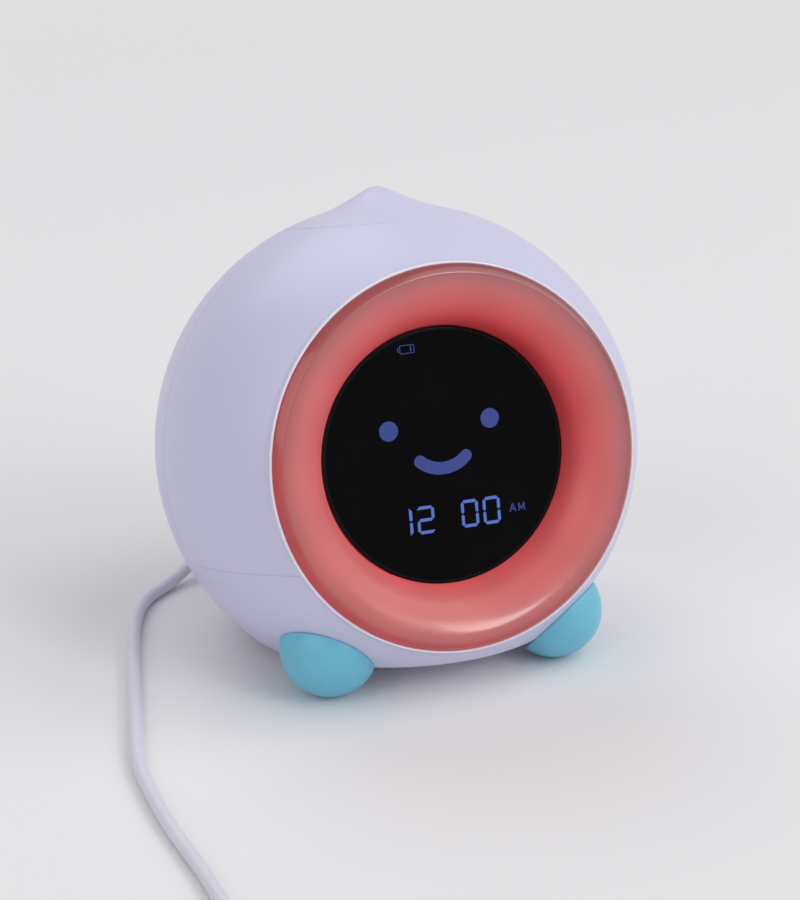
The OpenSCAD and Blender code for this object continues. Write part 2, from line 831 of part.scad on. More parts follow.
module display_frame() {
    fit = 0.4;
    color([0.1, 0.1, 0.11]) face_frame() difference() {
        translate([0, 0, tray_n]) cylinder(r = display_r - 0.05, h = frame_depth);
        translate([-(lcd_w + fit) / 2, -(lcd_h + fit) / 2, tray_n + frame_floor])
            cube([lcd_w + fit, lcd_h + fit, frame_depth]);
        translate([-lcd_w / 2 + 5, -lcd_h / 2 + 5, tray_n - 1])
            cube([lcd_w - 10, lcd_h - 10, frame_depth]);
    }
}

module backlight() {
    color("white") face_frame() translate([-lcd_w / 2, -lcd_h / 2, tray_n + frame_floor])
        cube([lcd_w, lcd_h, backlight_t]);
}

module lcd_panel() {
    lcd_t = frame_depth - frame_floor - backlight_t - 0.3;
    color([0.2, 0.22, 0.3]) face_frame()
        translate([-lcd_w / 2, -lcd_h / 2, tray_n + frame_floor + backlight_t])
            cube([lcd_w, lcd_h, lcd_t]);
}

module display_ribbon() {
    ribbon_w = 20;
    color("orange") face_frame() translate([-ribbon_w / 2, -12, board_front])
        cube([ribbon_w, 0.4, tray_n + frame_floor - board_front]);
}

// ---------- boards ----------

module main_board() {
    color("seagreen") face_frame() translate([0, 0, board_back]) difference() {
        round_plate(board_w, board_h, board_t);
        for (x = [-1, 1], y = [-1, 1])
            translate([x * board_post_x, y * board_post_y, -1])
                cylinder(r = small_r + 0.2, h = board_t + 2);
    }
}

module board_chips() {
    color("black") face_frame() for (c = chip_places)
        translate([c[0] - c[2] / 2, c[1] - c[3] / 2, board_back - c[4]]) cube([c[2], c[3], c[4]]);
}

module board_capacitors() {
    color("navy") face_frame() for (c = capacitor_places)
        translate([c[0], c[1], board_back - 8]) cylinder(r = 3.15, h = 8);
}

module board_sockets() {
    color("ivory") face_frame() for (s = socket_places)
        translate([s[0] - 4, s[1] - 2.5, board_back - 6]) cube([8, 5, 6]);
}

// ---------- keys at the back ----------

module key_guide() {
    color("white") face_frame() difference() {
        union() {
            translate([0, key_row, key_plate_n]) long_plate(key_plate_x, key_plate_r, key_plate_t);
            for (x = [-1, 1])
                translate([x * key_post_x, key_row, key_plate_n + 0.5])
                    cylinder(r = 2.4, h = key_board_n - key_plate_n - 0.5);
        }
        for (x = key_places)
            translate([x, key_row, key_plate_n - 1]) cylinder(r = key_r + key_gap, h = key_plate_t + 2);
        for (x = [-1, 1])
            translate([x * key_post_x, key_row, key_plate_n - 1])
                cylinder(r = small_r + 0.2, h = key_board_n - key_plate_n + 2);
    }
}

module key_board() {
    color("seagreen") face_frame() difference() {
        translate([0, key_row, key_board_n]) long_plate(key_plate_x, key_plate_r, board_t);
        for (x = [-1, 1])
            translate([x * key_post_x, key_row, key_board_n - 1])
                cylinder(r = small_r + 0.2, h = board_t + 2);
    }
}

module key_switches() {
    color("black") face_frame() for (x = key_places)
        translate([x, key_row, key_board_n]) rotate([180, 0, 0]) push_switch();
}

// One key: its head follows the round of the head, and its stem reaches into the switch.
module key(i) {
    color("skyblue") face_frame() {
        intersection() {
            translate([key_places[i], key_row, -far]) cylinder(r = key_r, h = far + key_flange_n);
            ball(head_r + key_proud);
        }
        translate([key_places[i], key_row, key_flange_n])
            cylinder(r = key_flange_r, h = key_flange_t);
        translate([key_places[i], key_row, key_flange_n])
            cylinder(r = plunger_r, h = key_flange_t + key_stem_l);
    }
}

// ---------- loudspeaker ----------

module speaker_basket() {
    color("dimgray") speaker_frame() translate([0, 0, speaker_z]) rotate_extrude() polygon([
        [speaker_r, 0], [speaker_r, -speaker_rim_t], [speaker_r - 3, -speaker_rim_t],
        [magnet_r + 0.5, -basket_h], [3.5, -basket_h], [3.5, 1 - basket_h],
        [magnet_r, 1 - basket_h], [speaker_r - 4, -0.8], [speaker_r - 4, 0]
    ]);
}

module speaker_cone() {
    color([0.15, 0.15, 0.15]) speaker_frame() translate([0, 0, speaker_z]) rotate_extrude() polygon([
        [speaker_r - 4, -0.1], [speaker_r - 4, -0.6], [3.2, -5.8], [3.2, 0.1 - basket_h],
        [0, 0.1 - basket_h], [0, -4], [3, -4.4], [5, -5]
    ]);
}

module speaker_magnet() {
    color("gray") speaker_frame() translate([0, 0, speaker_z - basket_h - magnet_h])
        cylinder(r = magnet_r, h = magnet_h);
}

module speaker_gasket() {
    color("black") speaker_frame() intersection() {
        ball(inner_r);
        translate([0, 0, speaker_z]) difference() {
            cylinder(r = speaker_r, h = far);
            translate([0, 0, -1]) cylinder(r = speaker_r - 4, h = far);
        }
    }
}

// ---------- power ----------

module power_jack() {
    color("black") jack_frame() {
        difference() {
            union() {
                translate([-4.5, -3.5, pocket_floor_y - pocket_floor_t - jack_l])
                    cube([9, 7, jack_l]);
                translate([0, 0, pocket_floor_y - pocket_floor_t - 1])
                    cylinder(r = nose_r, h = pocket_floor_t + 1);
            }
            translate([0, 0, pocket_floor_y - barrel_l - 0.5])
                cylinder(r = barrel_r + barrel_fit, h = far);
        }
        translate([0, 0, pocket_floor_y - barrel_l - 1]) cylinder(r = pin_r, h = barrel_l);
    }
}

module cord_plug() {
    color("whitesmoke") jack_frame() {
        translate([0, 0, pocket_floor_y + plug_gap])
            cylinder(r = plug_r, h = plug_end_y - pocket_floor_y - plug_gap);
        translate([0, 0, plug_arm_y]) rotate([0, -90, 0]) cylinder(r = plug_arm_r, h = plug_arm_l);
    }
}

module plug_barrel() {
    color("silver") jack_frame() difference() {
        translate([0, 0, pocket_floor_y + plug_gap - barrel_l])
            cylinder(r = barrel_r, h = barrel_l);
        translate([0, 0, pocket_floor_y - barrel_l - 1])
            cylinder(r = pin_r + 0.1, h = barrel_l + 1);
    }
}

module cord_relief() {
    color("whitesmoke") jack_frame() translate([-plug_arm_l, 0, plug_arm_y]) rotate([0, -90, 0])
        cylinder(r1 = plug_arm_r - 0.2, r2 = cord_r + 0.35, h = relief_l);
}

module cord_tube() {
    color("whitesmoke") {
        tube_along(cord_route, cord_r, 8, [0, 0, 1]);
        tube_along(tail_route, cord_r, 8, [0, 0, 1]);
    }
}

module cord_coil() {
    color("whitesmoke") translate([coil_at[0], coil_at[1], 0]) rotate_extrude()
        translate([coil_inner - cord_r, 0]) square([coil_columns * cord_d, coil_layers * cord_d]);
}

// The tie bridges the coil on the side away from the clock.
module cord_tie() {
    inside = coil_inner - cord_r - tie_t;
    span = coil_columns * cord_d + 2 * tie_t;
    rise = coil_layers * cord_d + tie_t;
    color("gray") translate([coil_at[0], coil_at[1], 0]) rotate(-60) difference() {
        translate([inside, -tie_w / 2, 0]) cube([span, tie_w, rise]);
        rotate_extrude() translate([coil_inner - cord_r, -1])
            square([coil_columns * cord_d, coil_layers * cord_d + 1]);
    }
}

module usb_plug() {
    color("whitesmoke") translate([usb_at[0], usb_at[1], 0]) {
        translate([0, 0, usb_at[2]]) rotate([-90, 0, 0])
            cylinder(r1 = cord_r + 0.4, r2 = cord_r + 1.6, h = usb_relief_l);
        translate([-usb_w / 2, usb_relief_l, 0]) cube([usb_w, usb_l, usb_h]);
    }
}

module usb_shell() {
    shell_w = 12;
    shell_h = 4.5;
    shell_t = 0.4;
    color("silver") translate([usb_at[0], usb_at[1] + usb_relief_l + usb_l, usb_h / 2]) difference() {
        translate([-shell_w / 2, 0, -shell_h / 2]) cube([shell_w, 12, shell_h]);
        translate([shell_t - shell_w / 2, 1, shell_t - shell_h / 2])
            cube([shell_w - 2 * shell_t, 12, shell_h - 2 * shell_t - 1.6]);
    }
}

// ---------- cells under the base ----------

// Heights of the three cells across the box.
cell_rows = [for (i = [0 : cell_count - 1]) box_y + (i - (cell_count - 1) / 2) * cell_pitch];

module battery_box() {
    color("white") base_frame() difference() {
        union() {
            translate([0, box_y, door_top])
                round_plate(box_w + 2 * box_wall, box_l + 2 * box_wall, box_top + box_wall - door_top);
            translate([0, door_y, base_in])
                round_plate(door_w + 5, door_l + 5, flange_t);
            translate([0, door_screw_y, door_top]) cylinder(r = 3.5, h = 8);
            for (x = [-1, 1]) translate([x * box_screw_x, box_y, base_in])
                cylinder(r = 3.5, h = flange_t);
        }
        translate([-box_w / 2, box_y - box_l / 2, door_top - 1])
            cube([box_w, box_l, box_top - door_top + 1]);
        translate([0, door_screw_y, door_top - 1]) cylinder(r = 1.2 + pilot_fit, h = 8);
        for (x = [-1, 1]) translate([x * box_screw_x, box_y, base_in - 1])
            cylinder(r = small_r + 0.2, h = flange_t + 2);
    }
}

// A helical spring along +X.
module cell_spring() {
    turns = 3;
    steps = 14;
    wire = 0.35;
    run = spring_l - 2 * wire - 0.1;
    tube_along([for (i = [0 : turns * steps]) let (a = 360 * i / steps)
        [wire + 0.05 + run * i / (turns * steps), 2.6 * cos(a), 2.6 * sin(a)]],
        wire, 6, [1, 0, 0]);
}

module battery_contacts() {
    color("silver") base_frame() for (i = [0 : cell_count - 1]) {
        way = i % 2 == 0 ? 1 : -1;
        translate([0, cell_rows[i], cell_z]) scale([way, 1, 1]) {
            for (x = [-box_w / 2, box_w / 2 - contact_t])
                translate([x, -4, -4]) cube([contact_t, 8, 8]);
            translate([contact_t - box_w / 2, 0, 0]) cell_spring();
        }
    }
}

module batteries() {
    nub = 0.8;
    color("darkorange") base_frame() for (i = [0 : cell_count - 1]) {
        way = i % 2 == 0 ? 1 : -1;
        translate([0, cell_rows[i], cell_z]) rotate([0, way * 90, 0])
            translate([0, 0, box_w / 2 - contact_t - cell_l]) {
                cylinder(r = cell_r, h = cell_l - nub);
                cylinder(r = 1.9, h = cell_l);
            }
    }
}

module battery_door() {
    color("lavender") base_frame() difference() {
        union() {
            translate([0, door_y, base_z]) round_plate(door_w, door_l, door_t);
            for (y = cell_rows)
                translate([-20, y - 0.6, door_top - 0.2]) cube([40, 1.2, door_rib_h + 0.2]);
        }
        translate([0, door_screw_y, base_z - 1]) cylinder(r = 1.4, h = door_t + 2);
        translate([0, door_screw_y, base_z - 1]) cylinder(r = 2.9, h = 2.2);
    }
}

module door_screw() {
    color("silver") base_frame() translate([0, door_screw_y, base_z + 1.2]) rotate([180, 0, 0])
        screw(1.2, 6, 2.6, 1.1);
}

// ---------- feet ----------

module foot(side) {
    pad_at = foot_dist * cos(foot_down) * [side * sin(foot_side), -cos(foot_side), 0] + [0, head_y, 0];
    color("mediumturquoise") difference() {
        union() {
            difference() {
                foot_frame(side) translate([0, 0, foot_dist]) sphere(foot_r);
                translate([0, head_y, head_lift]) ball(head_r);
            }
            foot_frame(side) translate([0, 0, inner_r - 2.1])
                cylinder(r = foot_peg_r, h = wall + 5);
        }
        foot_frame(side) translate([0, 0, inner_r - 3]) cylinder(r = 1.3 + pilot_fit, h = 10);
        translate([-far / 2, -far / 2, pad_proud - far]) cube(far);
        translate(pad_at) cylinder(r = foot_pad_r + 0.05, h = foot_pad_h);
    }
}

module left_foot() {
    foot(-1);
}

module right_foot() {
    foot(1);
}

module foot_pads() {
    color([0.2, 0.2, 0.2]) for (side = [-1, 1])
        translate(foot_dist * cos(foot_down) * [side * sin(foot_side), -cos(foot_side), 0] + [0, head_y, 0])
            cylinder(r = foot_pad_r, h = foot_pad_h);
}

module back_pad() {
    color([0.2, 0.2, 0.2]) difference() {
        translate([0, head_y + base_r * 0.7, 0])
            long_plate((back_pad_l - back_pad_w) / 2, back_pad_w / 2, 10);
        base_frame() above(base_z);
    }
}

// ---------- screws ----------

module case_screws() {
    color("silver") {
        face_frame() at_case_screws()
            translate([0, 0, -case_head_n]) rotate([180, 0, 0]) case_screw(case_head_n + case_grip);
        head_frame() at_base_screws() translate([0, 0, base_head_u]) rotate([180, 0, 0])
            case_screw(chin_seam - base_head_u + base_grip);
    }
}

module foot_screws() {
    color("silver") for (side = [-1, 1])
        foot_frame(side) translate([0, 0, inner_r - 2.1]) rotate([180, 0, 0])
            screw(1.3, foot_screw_l, 4.2, 2);
}

module small_screws() {
    color("silver") {
        face_frame() for (a = lug_angles)
            rotate(a) translate([lug_r, 0, tray_n - tray_t]) rotate([180, 0, 0]) small_screw(8);
        face_frame() for (x = [-1, 1], y = [-1, 1])
            translate([x * board_post_x, y * board_post_y, board_back]) rotate([180, 0, 0])
                small_screw(8);
        head_frame() for (x = [-1, 1], y = [-1, 1])
            translate([x * carrier_screw_r * sin(45), y * carrier_screw_r * cos(45), carrier_bottom])
                rotate([180, 0, 0]) small_screw(5.2);
        head_frame() for (x = [-1, 1])
            translate([x * cap_post_x, 0, cap_board_top - board_t]) rotate([180, 0, 0])
                small_screw(7);
        speaker_frame() for (a = speaker_angles)
            rotate(a) translate([speaker_post_r, 0, speaker_z - speaker_rim_t]) rotate([180, 0, 0])
                screw(small_r, 3, 3.9, small_head_h);
        face_frame() for (x = [-1, 1])
            translate([x * key_post_x, key_row, key_board_n + board_t])
                small_screw(board_t + key_board_n - key_plate_n + 3);
        base_frame() for (x = [-1, 1])
            translate([x * box_screw_x, box_y, base_in + flange_t]) small_screw(flange_t + 1.5);
    }
}

// ---------- leads inside ----------

lead_r = 0.8;
plug_n = board_back - 6.1;

// A route with each corner cut off at a quarter of its sides.
function rounded(route) = concat(
    [route[0]],
    [for (i = [0 : len(route) - 2]) each [
        route[i] * 0.75 + route[i + 1] * 0.25, route[i] * 0.25 + route[i + 1] * 0.75]],
    [route[len(route) - 1]]
);

// A pair of wires that run side by side.
module wire_pair(route) {
    soft = rounded(rounded(route));
    for (side = [-1, 1])
        tube_along([for (p = soft) p + [side * 1, 0, 0]], lead_r, 8, [1, 0, 0]);
}

module speaker_leads() {
    start_z = speaker_z - basket_h - magnet_h - 0.1;
    out = [0, sin(speaker_up), -cos(speaker_up)];
    color("crimson") face_frame() wire_pair([
        out * start_z, out * (start_z - 6), [6, 8, -24], [14, 2, -8], [14, 2, plug_n]
    ]);
}

module power_leads() {
    jack_in = pocket_floor_y - pocket_floor_t - jack_l - 0.2;
    jack_low = jack_height - head_lift;
    start = [jack_x, jack_in * sin(tilt) + jack_low * cos(tilt), jack_low * sin(tilt) - jack_in * cos(tilt)];
    box_y_out = box_y + box_l / 2 - 3;
    box_out = box_top + box_wall + 0.2;
    turn = tilt - base_tilt;
    over = [-12, box_y_out * sin(turn) + box_out * cos(turn), box_out * sin(turn) - box_y_out * cos(turn)];
    color("crimson") face_frame() {
        wire_pair([start, start + [0, 0, 6], [10, -20, -16], [10, -20, plug_n]]);
        wire_pair([over, over + [0, 5, 0], [-12, -18, -6], [-12, -18, plug_n]]);
    }
}

module lamp_leads() {
    color("crimson") face_frame() wire_pair([
        [0, lamp_lead_y, tray_n - 0.1], [0, lamp_lead_y, tray_n - 8], [0, 30, board_front + 6],
        [0, board_h / 2 - 3, board_front + 4], [0, board_h / 2 - 3, board_front + 0.1]
    ]);
}

module button_leads() {
    color("crimson") face_frame() {
        wire_pair([[-20, key_row, key_board_n + board_t + 0.1],
            [-20, key_row, key_board_n + board_t + 6], [-16, 10, -20], [-16, 20, -8],
            [-16, 20, plug_n]]);
        wire_pair([[-4, cap_board_top - board_t - 0.1, 0], [-4, cap_board_top - board_t - 6, 0],
            [-4, 20, -8], [-4, 20, plug_n]]);
    }
}

front_shell();
rear_shell();
base_shell();
top_cap();
cap_screw();
cap_plunger();
cap_carrier();
cap_switch();
cap_board();
light_ring();
lamp_tray();
led_board();
leds();
display_lens();
display_frame();
lcd_panel();
backlight();
display_ribbon();
main_board();
board_chips();
board_capacitors();
board_sockets();
key_guide();
key_board();
key_switches();
key(0);  // key_1
key(1);  // key_2
key(2);  // key_3
key(3);  // key_4
key(4);  // key_5
speaker_basket();
speaker_cone();
speaker_magnet();
speaker_gasket();
power_jack();
battery_box();
battery_contacts();
batteries();
battery_door();
door_screw();
left_foot();
right_foot();
foot_pads();
back_pad();
case_screws();
small_screws();
foot_screws();
speaker_leads();
power_leads();
lamp_leads();
button_leads();
cord_plug();
plug_barrel();
cord_relief();
cord_tube();
cord_coil();
cord_tie();
usb_plug();
usb_shell();
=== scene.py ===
# %% [markdown]
# # A child's alarm clock with a night light
#
# The clock is a ball of pale plastic on two round feet. A ring round its screen glows, its top
# is one big button, and a lead with a small angled plug leaves it at the back. This lesson
# dresses the engineered model: it keeps every part where it was designed, gives the parts that
# show a finer skin, and gives each one a finish.
#
# The first step loads the engineered parts. Nothing in this lesson may make the clock bigger.

# %% Load the parts
import bpy
import bmesh
import json
import math
import numpy as np
from mathutils import Matrix, Quaternion, Vector

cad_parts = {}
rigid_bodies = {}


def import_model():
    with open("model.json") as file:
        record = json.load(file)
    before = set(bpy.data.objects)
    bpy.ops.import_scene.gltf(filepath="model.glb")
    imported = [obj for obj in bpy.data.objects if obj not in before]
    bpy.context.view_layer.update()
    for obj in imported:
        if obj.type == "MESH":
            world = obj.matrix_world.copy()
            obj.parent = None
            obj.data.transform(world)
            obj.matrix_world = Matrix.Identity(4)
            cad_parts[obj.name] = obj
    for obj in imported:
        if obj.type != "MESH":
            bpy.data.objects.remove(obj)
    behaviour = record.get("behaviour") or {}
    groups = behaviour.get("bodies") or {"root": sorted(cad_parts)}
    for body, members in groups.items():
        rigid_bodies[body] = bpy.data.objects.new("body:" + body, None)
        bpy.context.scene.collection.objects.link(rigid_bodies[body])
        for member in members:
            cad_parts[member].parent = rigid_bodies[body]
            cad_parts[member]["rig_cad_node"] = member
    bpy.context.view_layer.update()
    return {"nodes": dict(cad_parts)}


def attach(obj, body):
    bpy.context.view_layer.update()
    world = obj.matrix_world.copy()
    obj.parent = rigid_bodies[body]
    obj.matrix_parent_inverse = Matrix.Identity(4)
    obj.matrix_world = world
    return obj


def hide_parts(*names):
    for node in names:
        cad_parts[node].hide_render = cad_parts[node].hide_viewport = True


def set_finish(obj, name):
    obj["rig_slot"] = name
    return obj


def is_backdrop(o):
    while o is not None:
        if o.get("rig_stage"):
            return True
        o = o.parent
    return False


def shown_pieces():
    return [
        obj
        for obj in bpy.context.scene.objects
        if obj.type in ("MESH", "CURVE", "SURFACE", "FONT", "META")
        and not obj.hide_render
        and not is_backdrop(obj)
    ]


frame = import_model()

# %% [markdown]
# ## Where things are
#
# The ball is tipped back, so its face looks a little upward. Most shapes are easier to write
# in the frame of the part they belong to, such as "so far from the middle of the face", and
# then carry over to the table's frame. A frame here is a point and three square directions,
# and the whole lesson counts in millimetres until a mesh is made.

# %% Sizes and frames
# The ball's radius and middle, how far it is tipped back, and how far below its middle the
# seam of the base lies.
HEAD_R = 72.0
HEAD = np.array([0.0, -5.93611, 59.3568])
TILT = math.radians(13.3)
CHIN = -26.5


def turned(angle):
    """The across, up and out directions of a face tipped back by an angle: x stays, up leans
    back by the angle, and out is across times up."""
    c, s = math.cos(angle), math.sin(angle)
    return np.array([[1.0, 0, 0], [0, s, c], [0, -c, s]])


def place(points, axes, at=HEAD):
    """Own coordinates to the table's frame: at + x * across + y * up + z * out."""
    return np.asarray(points, float) @ axes + at


FACE = turned(TILT)
TOP = np.array([FACE[0], -FACE[2], FACE[1]])
# Sizes that end in R are distances from the face's axis, and those that end in N are
# distances in front of the ball's middle.
CREST_N = 49.6178
GLASS_R, GLASS_N, GLASS_BACK_N = 36.95, 37.7678, 35.7678
print("face looks", FACE[2].round(3), "ring crest", CREST_N, "mm in front of the ball's middle")

# %% [markdown]
# ## The camera
#
# The clock is seen from a little above and from its right-hand side, through a long lens, so
# the ball stays round. The camera stands still and its lens isn't shifted.

# %% Camera
CAMERA_AT, LENS, SENSOR = (-0.23844, -0.59633, 0.28956), 90.26, 36.0
camera = bpy.data.objects.new("camera", bpy.data.cameras.new("camera"))
bpy.context.scene.collection.objects.link(camera)
bpy.context.scene.camera = camera
back = Vector((-0.3534, -0.8704, 0.3428)).normalized()
right = Vector((0.9265, -0.3762, 0.0)).normalized()
up = back.cross(right).normalized()
camera.matrix_world = (Matrix.Translation(CAMERA_AT)
                       @ Matrix((right, up, back)).transposed().to_4x4())
camera.data.sensor_fit = "VERTICAL"
camera.data.sensor_height = camera.data.sensor_width = SENSOR
camera.data.lens = LENS
camera.data.clip_start, camera.data.clip_end = 0.01, 10.0
print("camera is", round(camera.location.length, 3), "m away, lens", camera.data.lens)

# %% [markdown]
# ## Meshes from arrays
#
# A shape is worked out as whole arrays of points on a grid, and each point comes with the
# direction that its surface faces. Those directions are kept in the mesh, so a rounded edge
# shades as a rounded edge however few faces it has. Grids that meet share their points, which
# closes seams and poles.

# %% From grids to a mesh
MM = 0.001


def unit(v):
    """Each vector divided by its own length."""
    return v / np.maximum(np.linalg.norm(v, axis=-1, keepdims=True), 1e-12)


def grid_quads(rows, columns):
    """Corner numbers of the cells of a grid: (i, j), (i, j + 1), (i + 1, j + 1), (i + 1, j)."""
    i, j = np.meshgrid(np.arange(rows - 1), np.arange(columns - 1), indexing="ij")
    a = (i * columns + j).ravel()
    return np.stack([a, a + 1, a + columns + 1, a + columns], axis=1)


def outward_quads(points, facing):
    """The cells of a grid in the order that turns them the way the grid faces: a grid whose
    cells' diagonals, crossed, lie against its directions is turned over."""
    quads = grid_quads(*points.shape[:2])
    p, n = points.reshape(-1, 3), facing.reshape(-1, 3)
    cross = np.cross(p[quads[:, 2]] - p[quads[:, 0]], p[quads[:, 3]] - p[quads[:, 1]])
    return quads if (cross * n[quads].sum(1)).sum() >= 0 else quads[:, ::-1]


def mesh_of(name, patches):
    """One mesh from grids of (points, directions) in millimetres. Points closer than a
    thousandth of a millimetre become one, and cells that shrink to a line are left out."""
    points = np.concatenate([p.reshape(-1, 3) for p, n in patches])
    facing = unit(np.concatenate([n.reshape(-1, 3) for p, n in patches]))
    quads, start = [], 0
    for p, n in patches:
        quads.append(outward_quads(p, n) + start)
        start += p.shape[0] * p.shape[1]
    quads = np.concatenate(quads)
    _, first, same = np.unique(np.round(points, 3), axis=0, return_index=True, return_inverse=True)
    same = same.reshape(-1)
    q = same[quads]
    keep = q != np.roll(q, -1, axis=1)
    keep &= (keep.sum(1) >= 3)[:, None]
    keep &= ((q[:, 0] != q[:, 2]) & (q[:, 1] != q[:, 3]))[:, None]
    corners, count = quads[keep], keep.sum(1)
    count = count[count > 0]
    used, index = np.unique(same[corners], return_inverse=True)
    mesh = bpy.data.meshes.new(name)
    mesh.vertices.add(len(used))
    mesh.vertices.foreach_set("co", (points[first[used]] * MM).ravel().astype(np.float32))
    mesh.loops.add(len(corners))
    mesh.loops.foreach_set("vertex_index", index.reshape(-1).astype(np.int32))
    mesh.polygons.add(len(count))
    mesh.polygons.foreach_set("loop_start", (np.cumsum(count) - count).astype(np.int32))
    mesh.update(calc_edges=True)
    mesh.polygons.foreach_set("use_smooth", np.ones(len(count), bool))
    mesh.normals_split_custom_set(facing[corners].tolist())
    return mesh


print("cells of a grid of 3 by 4 points:", len(grid_quads(3, 4)))

# %% Pieces


def piece(name, mesh, body="clock", slot=None, replaces=()):
    """A new piece of the clock that moves with a body and may stand for engineered parts."""
    obj = bpy.data.objects.new(name, mesh)
    bpy.context.scene.collection.objects.link(obj)
    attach(obj, body)
    if slot:
        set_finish(obj, slot)
    if replaces:
        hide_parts(*replaces)
    print(f"{name}: {len(mesh.polygons)} faces")
    return obj


# %% [markdown]
# ## Turned shapes
#
# Most of this clock is turned: the cap, the ring, the glass, the feet. Such a shape is an
# outline in (distance from the axis, place along the axis), carried once round. The outline's
# sharp corners are rounded first, because no moulded edge is truly sharp and a rounded one
# catches the light. An outline runs so that the outside is on its right.

# %% Outlines and turned shapes


def fillet(corners, radii, steps=6):
    """A line through corners, where each corner is an arc that touches both of its sides. The
    arc starts r * tan(half the turn) before the corner."""
    out = [np.array([corners[0]], float)]
    for before, here, after, r in zip(corners, corners[1:], corners[2:], radii[1:-1]):
        here = np.asarray(here, float)
        a, b = unit(here - before), unit(np.asarray(after, float) - here)
        turn = math.atan2(a[0] * b[1] - a[1] * b[0], a @ b)
        if r <= 0 or abs(turn) < 1e-3:
            out.append(here[None])
            continue
        side = math.copysign(1.0, turn)
        start = here - a * r * math.tan(abs(turn) / 2)
        middle = start + side * r * np.array([-a[1], a[0]])
        angle = np.linspace(0, turn, steps + 1)
        c, s = np.cos(angle), np.sin(angle)
        spoke = start - middle
        out.append(middle + np.stack([c * spoke[0] - s * spoke[1], s * spoke[0] + c * spoke[1]], 1))
    out.append(np.array([corners[-1]], float))
    return np.concatenate(out)


def outline_directions(line, crease=40.0):
    """The line's points and the directions they face, to the right of the way it runs. A point
    faces the mean of its two sides, weighed by the square of their length, and at a turn over
    the crease it is doubled, so that both sides keep their own direction."""
    line = line[np.r_[True, np.linalg.norm(np.diff(line, axis=0), axis=1) > 1e-6]]
    step = np.diff(line, axis=0)
    size = np.linalg.norm(step, axis=1)
    faces = np.stack([step[:, 1], -step[:, 0]], 1) / size[:, None]
    before, after = np.r_[faces[:1], faces], np.r_[faces, faces[-1:]]
    weight = size ** 2
    w0, w1 = np.r_[weight[:1], weight], np.r_[weight, weight[-1:]]
    mean = unit(before * w0[:, None] + after * w1[:, None])
    sharp = (before * after).sum(1) < math.cos(math.radians(crease))
    sharp[[0, -1]] = False
    take = np.repeat(np.arange(len(line)), np.where(sharp, 2, 1))
    second = np.r_[False, take[1:] == take[:-1]]
    direction = np.where(second[:, None], after[take],
                         np.where(sharp[take][:, None], before[take], mean[take]))
    return line[take], direction


def turn_round(line, axes, at=HEAD, columns=128, crease=40.0):
    """An outline (r, z) carried round an axis: (r cos a, r sin a, z), for a from 0 to 360."""
    line, direction = outline_directions(np.asarray(line, float), crease)
    a = np.linspace(0, 2 * np.pi, columns + 1)
    a[-1] = 0.0
    c, s = np.cos(a)[None], np.sin(a)[None]

    def carried(rz):
        r, z = rz[:, :1], rz[:, 1:]
        return np.stack([r * c, r * s, z + 0 * c], axis=2)

    return place(carried(line), axes, at), carried(direction) @ axes


def turned_piece(name, line, columns=256, **rest):
    """A piece turned round the face's axis from one outline."""
    return piece(name, mesh_of(name, [turn_round(line, FACE, columns=columns)]), **rest)


print("points of a rounded corner:", len(fillet([(0, 0), (1, 0), (1, 1)], [0, 0.2, 0])))

# %% [markdown]
# ## The lead
#
# The lead is a fixed length of soft round cable, 3.9 mm thick. It leaves the angled plug
# behind the clock, drops to the table, comes round the clock's left side and runs forward.
# What isn't needed is wound into a round coil of nine cells, three wide and three high. Each
# turn keeps to its own cell, and the turns change cells one after another, so they never
# cross through each other. One smooth line carries a round section along it.

# %% The lead's line
LEAD_R = 1.95
PLUG_EXIT = np.array([-23.0, 63.0639, 27.5])
LEAD_DOWN = [
    [-29, 62.56, 25.5], [-35, 60, 18.5], [-41, 56.5, 11], [-47, 52.5, 6], [-53.5, 48.5, 3.2],
    [-60, 43.5, 2.2], [-66, 38.5, 1.95], [-70.5, 32, 1.95], [-74.5, 23.5, 1.95],
    [-79, 10.5, 1.95], [-82.5, -1, 1.95], [-85.5, -12.5, 1.95], [-88.5, -24, 1.95],
    [-91.5, -35.5, 1.95], [-94.5, -46.5, 1.95], [-97.5, -58, 1.95], [-100, -70, 1.95],
    [-101, -82, 1.95], [-101.5, -94, 1.95], [-101.5, -106, 1.95], [-101, -118, 1.95],
    [-100.5, -130, 1.95], [-100.5, -142, 1.95], [-100, -154, 1.95], [-100, -166, 1.95],
    [-100, -176, 1.95],
]
LEAD_TAIL = [[-151.6, -203.2, 9.0], [-156, -198, 7.0], [-160.4, -193, 5.7], [-164, -188, 4.7],
             [-167, -184, 4.1], [-168, -180, 3.9]]
COIL_AT = np.array([-127.0, -186.0])
CELLS = np.array([[27, 1.95], [23.1, 1.95], [19.2, 1.95], [19.2, 5.85], [19.2, 9.75],
                  [23.1, 9.75], [23.1, 5.85], [27, 5.85], [27, 9.75]])


def coil(step=6.0):
    """Points of the coil, clockwise from its right-hand side. A turn changes to the next cell
    at 300 + 320 k degrees, over 40 degrees, along 3 s s - 2 s s s."""
    turn = np.arange(6, 2640, step)
    s = np.clip((turn[:, None] - (300 + 320 * np.arange(8))) / 40.0, 0, 1)
    s = s * s * (3 - 2 * s)
    cell = CELLS[0] + (s[:, :, None] * np.diff(CELLS, axis=0)[None]).sum(1)
    a = -np.radians(turn)
    return np.stack([COIL_AT[0] + cell[:, 0] * np.cos(a),
                     COIL_AT[1] + cell[:, 0] * np.sin(a), cell[:, 1]], axis=1)


